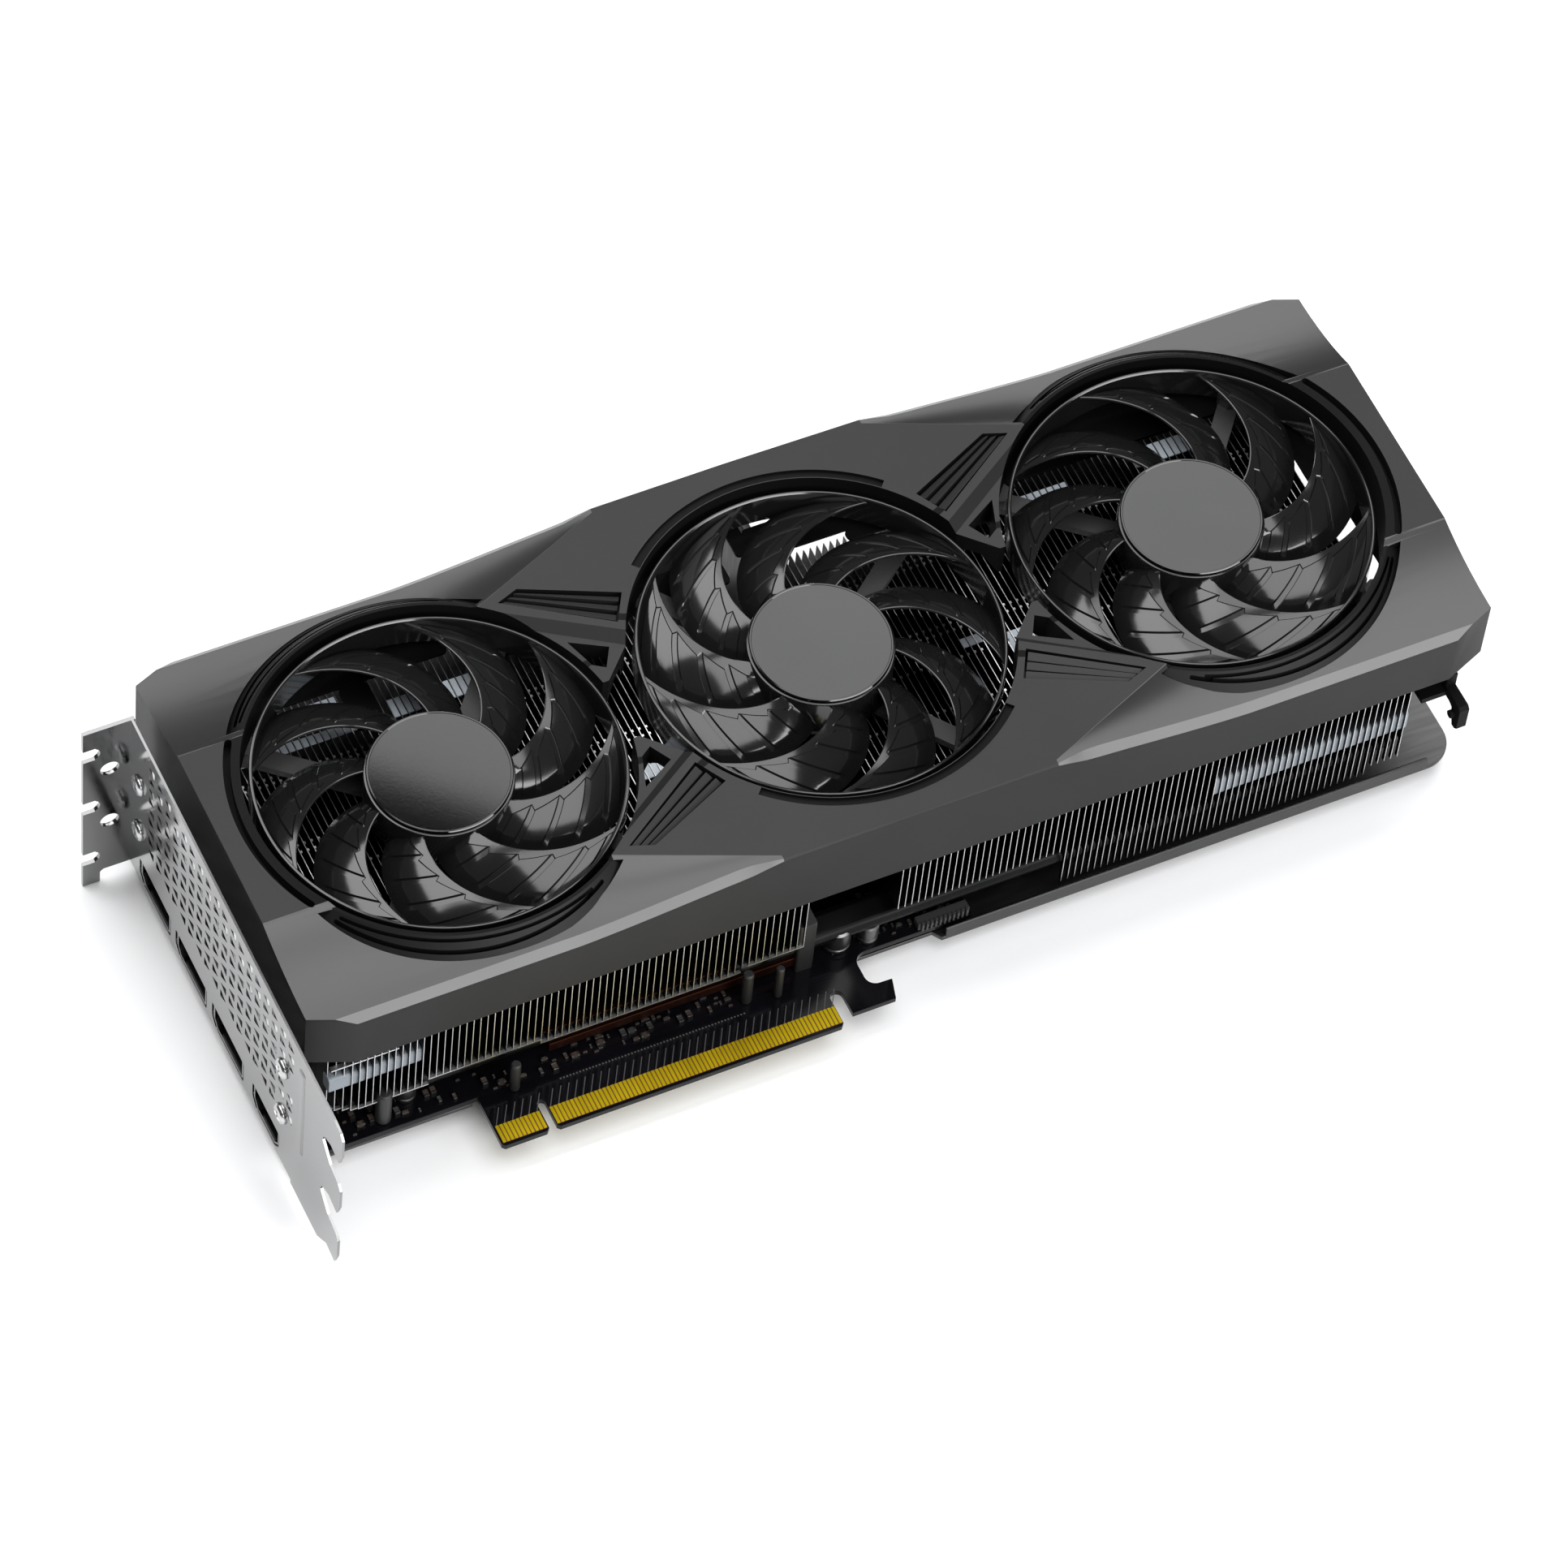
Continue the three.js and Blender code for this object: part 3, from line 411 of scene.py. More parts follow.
def edge_height(x):
    """Height of the flank's outer edge: level at the ends, climbing to the top by the middle fan."""
    t = min(1.0, max(0.0, (CLIMB_START - x) / (CLIMB_START - CREASE_APEX[0])))
    return TOP - EDGE_DROP * (1 - (0.5 * t + 0.5 * t * t * (3 - 2 * t)))


def flank_height(x, share):
    """The flank is hollow: it drops quickly from the crease, then flattens towards the edge."""
    return TOP - (TOP - edge_height(x)) * (1 - max(0.0, 1 - share) ** 2.4)


def flank_cutter(signs):
    shares = [0, 0.02, 0.05, 0.09, 0.14, 0.2, 0.28, 0.38, 0.5, 0.64, 0.8, 1.0, 1.25]
    start = CREASE_APEX[0]
    stations = [start + (FLANK_END - start) * i / 40 for i in range(41)]
    rings = []
    for x in stations:
        width = HALF_WIDTH - crease_y(x)
        low = [(x, crease_y(x) + width * s, flank_height(x, s)) for s in shares]
        high = [(x, low[-1][1], TOP + 3), (x, low[0][1], TOP + 3)]
        rings.append(in_quadrant(signs, low + high))
    return Shape().loft(rings)


def chamfer_cutter(side):
    """Bevel along one long edge, following its height and tapering towards the middle."""
    start = CREASE_APEX[0]
    half = [0, start] + [start + (CLIMB_START - start) * i / 14 for i in range(1, 15)] + [FLANK_END]
    rings = []
    for x in [-x for x in half[:0:-1]] + half:
        z = edge_height(abs(x)) + 0.5
        taper = min(1.0, max(0.0, (CHAMFER_FULL - abs(x)) / (CHAMFER_FULL - CHAMFER_END)))
        reach = CHAMFER + (CHAMFER_LEAST - CHAMFER) * taper + 0.5
        section = [(HALF_WIDTH + 0.5 - reach, z), (HALF_WIDTH + 0.5, z), (HALF_WIDTH + 0.5, z - reach)]
        rings.append([(CENTRE_X + x, CENTRE_Y + side * y, level) for y, level in section])
    return Shape().loft(rings)


LOUVRE = [(64.2, 35.8), (58.7, 37.8), (37.0, 28.0), (41.2, 20.8)]
SLATS = [(0.06, 0.31), (0.40, 0.63), (0.72, 0.93)]      # shares of the louvre's width
SLAT_START, SLAT_END = 0.02, 0.985                      # shares of its length
TRIANGLE = [(53.4, 21.4), (45.1, 16.7), (48.0, 11.7), (50.7, 13.5)]
STEP_UPPER = [(70, 36.4), (38, 16.6)]
STEP_LOWER = [(63, 29.6), (38, 13.6)]
STEP_WAIST = [(63, 7), (38, 7)]
STEP_HEIGHT = 53.5
WAIST = [(57, -8.2), (49, -8.2), (41.5, -15.7), (36, -15.7), (36, 15.7), (41.5, 15.7), (49, 8.2), (57, 8.2)]
BRIDGE = [(66, 34), (60, 28), (53, 8.2), (49, 8.2), (41.5, 15.7), (36, 18), (40, 26)]


def step_cutter(signs):
    """Lowers the bridge towards the waist, down a short slope."""
    rings = []
    for upper, lower, waist in zip(STEP_UPPER, STEP_LOWER, STEP_WAIST):
        section = [(*upper, TOP), (*lower, STEP_HEIGHT), (*waist, STEP_HEIGHT)]
        rings.append(in_quadrant(signs, section + [(*waist, TOP + 3), (*upper, TOP + 3)]))
    return Shape().loft(rings)


def louvre_slats(signs):
    """Three slanted slats that narrow towards the flank, standing in a black recess."""
    thin_low, thin_high, wide_high, wide_low = LOUVRE
    shape = Shape()

    def place(across, along):
        return mix(mix(wide_low, wide_high, across), mix(thin_low, thin_high, across), along)

    for low, high in SLATS:
        corners = [place(low, SLAT_END), place(low, SLAT_START)]
        corners += [place(high, SLAT_START), place(high, SLAT_END)]
        tops = [TOP - 0.35, TOP - 0.35, TOP - 1.0, TOP - 1.0]
        floor = [(*c, TOP - 3) for c in corners]
        roof = [(*c, z) for c, z in zip(corners, tops)]
        shape.loft([in_quadrant(signs, floor), in_quadrant(signs, roof)])
    return shape


def add_crescent(signs, hollows, grooves):
    """Sharp-tipped hollow in the flank beside an outer fan, with two curved grooves in its slope."""
    outer = arc(*CRESCENT_OFFSET, CRESCENT_RADIUS, 28, 131, 40)
    inner = arc(0, 0, OPENING_RADIUS - 1, 37, 122, 34)
    outline = in_quadrant(signs, [(FAN_PITCH + u, v) for u, v in outer + inner[::-1]])
    hollows.prism(outline, CRESCENT_FLOOR, TOP + 2)
    for groove in CRESCENT_GROOVES:
        points = [(FAN_PITCH + u, v) for u, v in curved_slot(*groove)]
        grooves.prism(in_quadrant(signs, points), CRESCENT_FLOOR - 1.6, TOP + 1)


def for_quadrants(make):
    """One shape from a maker's four mirrored results."""
    shape = Shape()
    for signs in QUADRANTS:
        shape.join(make(signs))
    return shape


def curved_slot(centre, radius, width, start, end):
    """Outline of a slot that follows a circle and has round ends."""
    def tip(angle, first):
        return arc(*arc(*centre, radius, angle, angle, 1)[0], width / 2, first, first - 180, 6)[1:-1]

    near = arc(*centre, radius - width / 2, start, end, 40)
    far = arc(*centre, radius + width / 2, end, start, 40)
    return near + tip(end, end + 180) + far + tip(start, start)


def fan_cylinders(radius, z0, z1):
    shape = Shape()
    for x, y in FAN_CENTRES:
        shape.turned([(radius, z0), (radius, z1)], x, y, 144)
    return shape


def fan_collar(x, y):
    """Rim round an opening; the outer fans' rims slope down into the hollows."""
    reach = COLLAR_RADIUS + 0.3 if x == CENTRE_X else COLLAR_SLOPE
    drop = COLLAR_TOP - (reach - COLLAR_RADIUS) * COLLAR_FALL
    profile = [(COLLAR_RADIUS, DUCT_BOTTOM), (reach, 49.5), (reach, drop), (COLLAR_RADIUS, COLLAR_TOP)]
    return Shape().turned(profile, x, y, 144)


def finish_faces(shroud):
    """The flanks are satin and the rims round the fans black; the walls and hollows get a darker copy of the
    top's plastic as painted shade.
    """
    flank, rim, wall = 1, 2, 3
    for material in (FLANK_PLASTIC, RIM_PLASTIC, WALL_PLASTIC_PAINTED_SHADE):
        shroud.data.materials.append(material)
    for face in shroud.data.polygons:
        x, y, z = (c / MM for c in face.center)
        to_fan = min(math.dist((x, y), centre) for centre in FAN_CENTRES)
        x, y = x - CENTRE_X, y - CENTRE_Y
        hollow = (math.copysign(FAN_PITCH + CRESCENT_OFFSET[0], x), math.copysign(CRESCENT_OFFSET[1], y))
        in_hollow = math.dist((x, y), hollow) < CRESCENT_RADIUS + 0.05 and z < COLLAR_TOP - 0.2
        in_recess = abs(x) < RECESS_REACH and to_fan < RECESS_RADIUS + 0.05 and z < TOP - 0.4
        beyond_crease = abs(x) > CREASE_APEX[0] and abs(y) > crease_y(abs(x))
        if to_fan < COLLAR_RADIUS + 0.1 or in_recess:
            face.material_index = rim
        elif in_hollow:
            face.material_index = wall
        elif beyond_crease and face.normal.z > 0.3:
            face.material_index = flank
        elif face.normal.z < 0.3:
            face.material_index = wall


def build_shroud():
    shroud = new_object("shroud_shell", Shape().prism(shroud_plan(0), WALL_BOTTOM, TOP), SHROUD_PLASTIC)
    combine(shroud, Shape().prism(shroud_plan(WALL_THICKNESS), 20, TOP - EDGE_DROP - 2.4), "DIFFERENCE")
    combine(shroud, for_quadrants(flank_cutter), "DIFFERENCE")
    combine(shroud, chamfer_cutter(-1).join(chamfer_cutter(1)), "DIFFERENCE")
    hollows, grooves = Shape(), Shape()
    for signs in QUADRANTS:
        add_crescent(signs, hollows, grooves)
    combine(shroud, hollows, "DIFFERENCE")
    for centre in FAN_CENTRES:
        combine(shroud, fan_collar(*centre), "UNION")
    combine(shroud, grooves, "DIFFERENCE", crossing=True)
    bridges = for_quadrants(lambda signs: Shape().prism(in_quadrant(signs, BRIDGE), 51.2, TOP - 0.001))
    combine(shroud, bridges, "UNION")
    combine(shroud, fan_cylinders(OPENING_RADIUS, 20, TOP + 5), "DIFFERENCE")
    waists, slots = Shape(), Shape()
    for side in (-1, 1):
        waists.prism(in_quadrant((side, 1), WAIST), 20, TOP + 5)
        end = (CENTRE_X + side * FAN_PITCH, CENTRE_Y)
        facing = 0 if side > 0 else 180
        slots.prism(curved_slot(end, END_SLOT_RADIUS, END_SLOT_WIDTH, facing - END_SLOT_HALF_ANGLE,
                                facing + END_SLOT_HALF_ANGLE), TOP - 3, TOP + 1)
        slots.arc_band(COLLAR_RADIUS - 0.6, RECESS_RADIUS, TOP - 0.9, TOP + 1, FAN_CENTRES[1],
                       side * 90 - RECESS_HALF_ANGLE, side * 90 + RECESS_HALF_ANGLE)
    combine(shroud, waists, "DIFFERENCE")
    combine(shroud, slots, "DIFFERENCE")
    combine(shroud, for_quadrants(step_cutter), "DIFFERENCE")
    windows = for_quadrants(lambda signs: Shape().prism(in_quadrant(signs, LOUVRE), 50, TOP + 1)
                            .prism(in_quadrant(signs, TRIANGLE), DUCT_BOTTOM - 1, TOP + 1))
    combine(shroud, windows, "DIFFERENCE")
    soften(shroud, 0.22)
    finish_faces(shroud)
    settle(shroud, "card", "shroud_plastic", "shroud")


def build_louvres():
    slats = for_quadrants(louvre_slats)
    floors = for_quadrants(lambda signs: Shape().prism(in_quadrant(signs, LOUVRE), 50.4, 51.2))
    add_piece("shroud_louvres", slats, SHROUD_PLASTIC, "shroud_plastic", edge=0.15)
    add_piece("shroud_louvre_floors", floors, CONNECTOR_PLASTIC, "shroud_plastic", edge=0.1)


# -------------------- fans

FANS = [
    {"name": "fan_1", "centre": FAN_CENTRES[0], "sense": 1, "phase": 38},
    {"name": "fan_2", "centre": FAN_CENTRES[1], "sense": -1, "phase": 10},
    {"name": "fan_3", "centre": FAN_CENTRES[2], "sense": 1, "phase": 22},
]
BLADES = 9
HUB_RADIUS, RING_INNER, RING_OUTER = 17.0, 41.5, 42.4
RING_TOP, RING_BOTTOM = 53.8, 45.0
BLADE_TOP, BLADE_DEPTH, BLADE_CHORD, BLADE_SWEEP = 53.0, 7.2, 30.0, 43.0
PANELS = [(18.6, 21.8), (22.8, 27.2), (28.2, 32.6), (33.6, 37.3), (38.2, 40.6)]
LAND = 1.35                         # width of the plain strip along the leading edge
RELIEF, GROOVE = 0.3, 0.17          # the panels stand up, with sunken lines round them


def leading_angle(radius):
    out = radius - HUB_RADIUS
    full = RING_INNER - HUB_RADIUS
    share = (1.2 * out + 0.02 * out * out) / (1.2 * full + 0.02 * full * full)
    return BLADE_SWEEP * (share - 1)


def blade_point(radius, chord, lift):
    """Point on a blade: chord 0 is the leading edge at the top, 1 the trailing edge."""
    rise = (radius - HUB_RADIUS) / (RING_INNER - HUB_RADIUS)
    fall = BLADE_DEPTH * (0.5 * chord + 0.5 * chord * chord)
    angle = math.radians(leading_angle(radius) - BLADE_CHORD * chord)
    return (radius * math.cos(angle), radius * math.sin(angle), BLADE_TOP - 1 + rise - fall + lift)


def panel_rows():
    """Radii across the blade with how far each one stands on a panel: 0 in a groove, 1 on top."""
    rows = [(16.2, 0), (17.4, 0)]
    for low, high in PANELS:
        inner, outer = low + 0.25, high - 0.25
        rows += [(low, 0)] + [(inner + (outer - inner) * k / 4, 1) for k in range(5)] + [(high, 0)]
    return rows + [(41.2, 0), (41.9, 0)]


def panel_start(radius):
    """Distance from the leading edge to the panel's slanted end."""
    for low, high in PANELS:
        if radius <= high:
            share = min(1.0, max(0.0, (radius - low) / (high - low)))
            return 3.4 - 1.5 * share
    return 1.9


def blade_columns(radius, on_panel):
    """(chord, lift) along the blade at one radius."""
    length = radius * math.radians(BLADE_CHORD)
    start = panel_start(radius)
    top = RELIEF * on_panel - GROOVE * (1 - on_panel)
    marks = [(0.0, -0.6), (0.12, -0.15), (0.4, 0), (LAND, 0)]
    marks += [(start - 0.25, 0), (start, -GROOVE), (start + 0.3, top)]
    columns = [(distance / length, lift) for distance, lift in marks]
    first = columns[-1][0]
    columns += [(first + (0.8 - first) * k / 10, top) for k in range(1, 11)]
    columns += [(0.87, 0.35 * top), (0.93, 0), (1.0, -0.1)]
    return columns


def build_blade():
    rings = []
    for radius, on_panel in panel_rows():
        columns = blade_columns(radius, on_panel)
        upper = [blade_point(radius, chord, lift) for chord, lift in columns]
        lower = [blade_point(radius, chord, -1.15) for chord in (0.97, 0.75, 0.5, 0.25, 0.03)]
        rings.append(upper + lower)
    return Shape().loft(rings)


RING = [(RING_INNER, RING_BOTTOM + 0.3), (RING_INNER + 0.25, RING_BOTTOM),
        (RING_OUTER - 0.25, RING_BOTTOM), (RING_OUTER, RING_BOTTOM + 0.3),
        (RING_OUTER, RING_TOP - 0.35), (RING_OUTER - 0.15, RING_TOP - 0.08), (RING_OUTER - 0.4, RING_TOP),
        (RING_INNER + 0.25, RING_TOP - 0.06), (RING_INNER, RING_TOP - 0.35)]
HUB = [(1.3, 50.6), (15.4, 50.6), (15.4, 42.2), (15.6, 42), (16.8, 42), (17, 42.2), (17, 51.9),
       (16.85, 52.25), (16.5, 52.4), (1.3, 52.4)]
DISC = [(16.1, 52.42), (16.5, 52.6), (16.5, 53.1), (16.3, 53.3), (15.95, 53.32), (15.85, 53.22), (8, 53.22)]


def build_rotor(fan):
    blade = build_blade()
    if fan["sense"] < 0:
        blade.placed(Matrix.Diagonal((1, -1, 1, 1)))
    shape = Shape()
    for i in range(BLADES):
        turn = Matrix.Rotation(math.radians(fan["phase"] + i * 360 / BLADES), 4, "Z")
        shape.join(Shape().join(blade).placed(turn))
    shape.turned(RING, segments=144, closed=True)
    shape.turned(HUB, segments=96, closed=True)
    shape.placed(Matrix.Translation((*fan["centre"], 0)))
    rotor = new_object(fan["name"] + "_blades", shape, FAN_PLASTIC)
    smooth(rotor, 24)
    settle(rotor, fan["name"], "fan_plastic", fan["name"] + "_rotor")

    disc = Shape().turned(DISC, *fan["centre"], segments=144)
    cap = new_object(fan["name"] + "_disc", disc, DISC_METAL)
    shade(cap, 25)
    settle(cap, fan["name"], "cap_metal", fan["name"] + "_cap")


# -------------------- cooler

FIN_PITCH, FIN_THICKNESS, FIN_TOP, FIN_FRONT, FIN_BACK = 1.71, 0.18, 38.4, 16.6, 115.6
STACKS = [
    {"name": "fin_stack_left", "start": -84.3, "count": 69},
    {"name": "fin_stack_middle", "start": 55.6, "count": 25},
    {"name": "fin_stack_right", "start": 98.3, "count": 52},
]
FIN_END_CUT = 134.0                 # beyond this distance from the middle the fins get shorter
FIN_HALF_DEPTH = 49.9
SHORT_FINS_START, SHORT_FINS_BACK = 62, 100.5       # in the middle stack
FIN_BOTTOMS = {                     # (where the step ends, height), from left to right
    "fin_stack_left": [(-61.5, 9.3), (-33, 11.3), (16, 9.9), (35, 11.6)],
    "fin_stack_middle": [(98, 13.6)],
    "fin_stack_right": [(178.5, 0.9), (190, 3.6)],
}
PIPE_NOTCH = (17.6, 82.4, 9.9)      # front, back and top of the space under the right stack
SMALL_TABS = (30.0, 47.0, 59.3, 66.8, 68.8, 86.3, 87.8)
WIDE_TABS = [                       # left, right, front and back of each row of tabs
    (-61, -47, 100.8, 103.3), (-84, -46, 93, 95.4), (-38, -16, 92.8, 97.8),
    (6.5, 16.5, 55.8, 61.8), (90, 97.5, 61.5, 64), (100.5, 110, 55.8, 61.8),
    (80, 90, 97.3, 100.3), (112, 134, 93, 95.4), (150, 165, 92.8, 97.8),
]
COVERS = [                          # left, right, front and back of each black cover
    (-84, -18, 104.5, 115), (-45.5, -38.5, 92, 104.5), (-15, 16, 98.8, 115), (20, 50, 98, 113),
    (99, 191.5, 99.5, 115), (186.8, 191.5, 64, 99.5), (54, 57.8, 103.8, 116), (66.8, 99, 101.6, 116),
    (57.8, 66.8, 103.8, 110.5), (57.8, 66.8, 113.5, 116), (80, 99, 98.5, 101.6),
]
FRONT_PIPES = [("left", -84.5, -62.0, 18.6, 23.8), ("right", 136.0, 186.9, 13.2, 19.6)]
PIPE_FRONT, PIPE_BACK = 17.3, 20.8


def fin_limits(x):
    """Front and back of a fin, drawn in where the shroud's corners are cut off."""
    half = FIN_HALF_DEPTH - 0.4 * max(0.0, abs(x - CENTRE_X) - FIN_END_CUT)
    return max(FIN_FRONT, CENTRE_Y - half), min(FIN_BACK, CENTRE_Y + half)


def fin_bottom(name, x):
    """The fins' lower edge steps up and down over the parts on the board."""
    for end, height in FIN_BOTTOMS[name]:
        if x < end:
            return height


def build_stack(stack):
    shape = Shape()
    name = stack["name"]
    for i in range(stack["count"]):
        x = stack["start"] + i * FIN_PITCH
        front, back = fin_limits(x)
        if name == "fin_stack_middle" and x > SHORT_FINS_START:
            back = SHORT_FINS_BACK
        low = fin_bottom(name, x)
        outline = [(front, low), (front, FIN_TOP), (back, FIN_TOP), (back, low)]
        if name == "fin_stack_right":
            near, far, roof = PIPE_NOTCH
            outline += [(far, low), (far, roof), (near, roof), (near, low)]
        shape.prism_x(outline, x, x + FIN_THICKNESS)
        if i == stack["count"] - 1:
            continue
        for y in SMALL_TABS:
            shape.box(x + 0.17, x + 0.6, y, y + 0.6, FIN_TOP - 0.35, FIN_TOP)
        if name == "fin_stack_left":
            shape.box(x + 0.17, x + FIN_PITCH + 0.01, front, front + 0.8, low, low + 0.3)
    if name == "fin_stack_left":
        shape.box(stack["start"], -68.0, FIN_FRONT + 0.2, 18, 28.2, 28.6)
    add_piece(name + "_fins", shape, FIN_METAL_PAINTED_SHADE, "aluminium", name)


def build_tabs():
    """Folded tabs between the blades, pale blue-white as a painted reflection of the light, and the black
    covers beside them.
    """
    tabs, covers = Shape(), Shape()
    for stack in STACKS:
        for i in range(stack["count"] - 1):
            x = stack["start"] + i * FIN_PITCH
            for x0, x1, y0, y1 in WIDE_TABS:
                if x0 < x < x1:
                    tabs.box(x + FIN_THICKNESS + 0.02, x + FIN_PITCH - 0.18, y0, y1, FIN_TOP - 0.35, FIN_TOP)
    for x0, x1, y0, y1 in COVERS:
        covers.prism(rounded([(x0, y0), (x1, y0), (x1, y1), (x0, y1)], 1.5), FIN_TOP + 0.05, FIN_TOP + 0.85)
    add_piece("fin_tabs", tabs, TAB_PAINTED_REFLECTION, "aluminium")
    add_piece("fin_covers", covers, RIM_PLASTIC, "shroud_plastic", edge=0.2)


def build_front_pipes():
    """Heat pipes just behind the fins' front edges, pale blue-grey as a painted reflection, and the thin
    copper edge under the left stack.
    """
    for name, start, end, low, high in FRONT_PIPES:
        corners = [(PIPE_FRONT, low), (PIPE_BACK, low), (PIPE_BACK, high), (PIPE_FRONT, high)]
        section = rounded(corners, 1.2, 6)
        pipe = Shape().prism_x(section, start, end)
        add_piece(f"front_pipe_{name}", pipe, FRONT_PIPE_PAINTED_REFLECTION, "aluminium", edge=0.3)
    add_piece("copper_edge", Shape().box(-32, 14.5, 17.6, 19, 11.9, 12.4), COPPER, "copper", edge=0.15)


# -------------------- board

BOARD_TOP = 0.785
LONG_HALF, KEY_WIDTH, SHORT_LENGTH = 35.575, 1.9, 11.65
CONTACT_WIDTH, CONTACT_START, CONTACT_END = 0.66, 0.9, 5.6
PAD_COUNT, PAD_PITCH, PAD_SIZE, PAD_LEFT, PAD_FRONT = 58, 0.8, 0.4, -30, 11.4
ZONES = [                           # left, right, front, back and number of tries for small parts
    (-80, -50, 15.5, 24, 40), (-34, 14, 14.5, 19, 70), (40, 74, 18, 30, 90), (-48, -36, 14, 20, 12),
]
PART_SIZES = [(1.0, 0.5, 0.45), (1.6, 0.8, 0.7), (2.0, 1.25, 1.0)]
# x, y, radius and top
POSTS = [(-40.5, 13.2, 1.2, 11), (17.5, 14.6, 1.3, 12), (24.8, 13.2, 1.0, 12), (-71, 17, 1.9, 12)]
CANS = [(43, 21, 3.4, 8.5), (50.5, 20, 2.6, 7), (-64, 21, 2.6, 6.5)]


def board_outline():
    key_left = -LONG_HALF - KEY_WIDTH
    tip = 0.7
    points = [(-93.4, 111.2)]
    for y, width in ((91.3, 18.2), (70.2, 18.2), (49, 18.2), (27.3, 15)):
        low, high = y - width / 2 + 0.4, y + width / 2 - 0.4
        points += [(-93.4, high), (-80.2, high), (-80.2, low), (-93.4, low)]
    points += [(-93.4, 14), (key_left - SHORT_LENGTH, 14), (key_left - SHORT_LENGTH, tip),
               (key_left - SHORT_LENGTH + tip, 0), (key_left - tip, 0), (key_left, tip)]
    points += arc(key_left + KEY_WIDTH / 2, 7.25, KEY_WIDTH / 2, 180, 0)
    points += [(-LONG_HALF, tip), (-LONG_HALF + tip, 0), (LONG_HALF - tip, 0), (LONG_HALF, tip)]
    points += arc(LONG_HALF + 1.55, 7.7, 1.55, 180, 0)
    points += [(LONG_HALF + 3.1, 2.2), (49.5, 2.2), (51, 7.4), (48, 7.5)]
    points += arc(47.9, 10.1, 2.6, -90, -180)
    points += arc(48.3, 13.5, 3, 180, 90)
    return points + [(75.5, 16.5), (75.5, 111.2)]


def contact_starts():
    """Left edge of every contact: eleven, the key gap, then seventy-one, 1 mm apart."""
    short = [-LONG_HALF - KEY_WIDTH - SHORT_LENGTH + 0.55 + i for i in range(11)]
    long = [-LONG_HALF + 0.3 + i for i in range(71)]
    return short, long


def build_contacts():
    for name, starts in zip(("contacts_short", "contacts_long"), contact_starts()):
        shape = Shape()
        for x in starts:
            for z0, z1 in ((BOARD_TOP, BOARD_TOP + 0.09), (-BOARD_TOP - 0.09, -BOARD_TOP)):
                shape.prism(rounded([(x, CONTACT_START), (x + CONTACT_WIDTH, CONTACT_START),
                                     (x + CONTACT_WIDTH, CONTACT_END), (x, CONTACT_END)], 0.15, 2), z0, z1)
        piece = new_object(name + "_gold", shape, GOLD)
        shade(piece, 30)
        settle(piece, "card", "gold", name)
    base = Shape()
    for starts in contact_starts():
        base.box(starts[0] - 0.1, starts[-1] + CONTACT_WIDTH + 0.16, CONTACT_START - 0.05, CONTACT_END + 0.05,
                 BOARD_TOP - 0.02, BOARD_TOP + 0.03)
    add_piece("contact_laminate", base, AMBER, "board")


def build_tracks():
    """Tracks fan out from the contacts towards a row of tiny pads."""
    shape = Shape()
    for starts in contact_starts():
        for x in starts[::2]:
            shape.prism([(x + 0.2, 5.7), (x + 0.45, 5.7), (x + 2.9, 9.9), (x + 2.65, 9.9)],
                        BOARD_TOP, BOARD_TOP + 0.03)
    for i in range(PAD_COUNT):
        x = PAD_LEFT + i * PAD_PITCH
        shape.box(x, x + PAD_SIZE, PAD_FRONT, PAD_FRONT + PAD_SIZE, BOARD_TOP, BOARD_TOP + 0.05)
    add_piece("board_tracks", shape, TRACK, "board")


def scatter_parts():
    """Small chips, resistors and capacitors strewn along the visible edge of the board."""
    rng = random.Random(7)
    bodies, ends, chips = Shape(), Shape(), Shape()
    taken = []
    for x0, x1, y0, y1, count in ZONES:
        for _ in range(count):
            x, y = rng.uniform(x0, x1), rng.uniform(y0, y1)
            along_x, along_y, high = rng.choice(PART_SIZES)
            if rng.random() < 0.5:
                along_x, along_y = along_y, along_x
            if any(abs(x - tx) < 0.5 * (along_x + tl) + 0.25 and abs(y - ty) < 0.5 * (along_y + tw) + 0.25
                   for tx, ty, tl, tw in taken):
                continue
            taken.append((x, y, along_x, along_y))
            target = bodies if rng.random() < 0.7 else chips
            dx, dy = along_x / 2, along_y / 2
            target.box(x - dx, x + dx, y - dy, y + dy, BOARD_TOP, BOARD_TOP + high)
            for side in (-1, 1):
                if along_x > along_y:
                    near, far = sorted((x + side * dx / 2, x + side * (dx + 0.02)))
                    limits = (near, far, y - dy - 0.02, y + dy + 0.02)
                else:
                    near, far = sorted((y + side * dy / 2, y + side * (dy + 0.02)))
                    limits = (x - dx - 0.02, x + dx + 0.02, near, far)
                ends.box(*limits, BOARD_TOP, BOARD_TOP + high + 0.02)

    add_piece("board_capacitors", bodies, CERAMIC, "chip", edge=0.06)
    add_piece("board_chips", chips, CHIP, "chip", edge=0.06)
    add_piece("board_solder_ends", ends, TIN, "steel", edge=0.06)


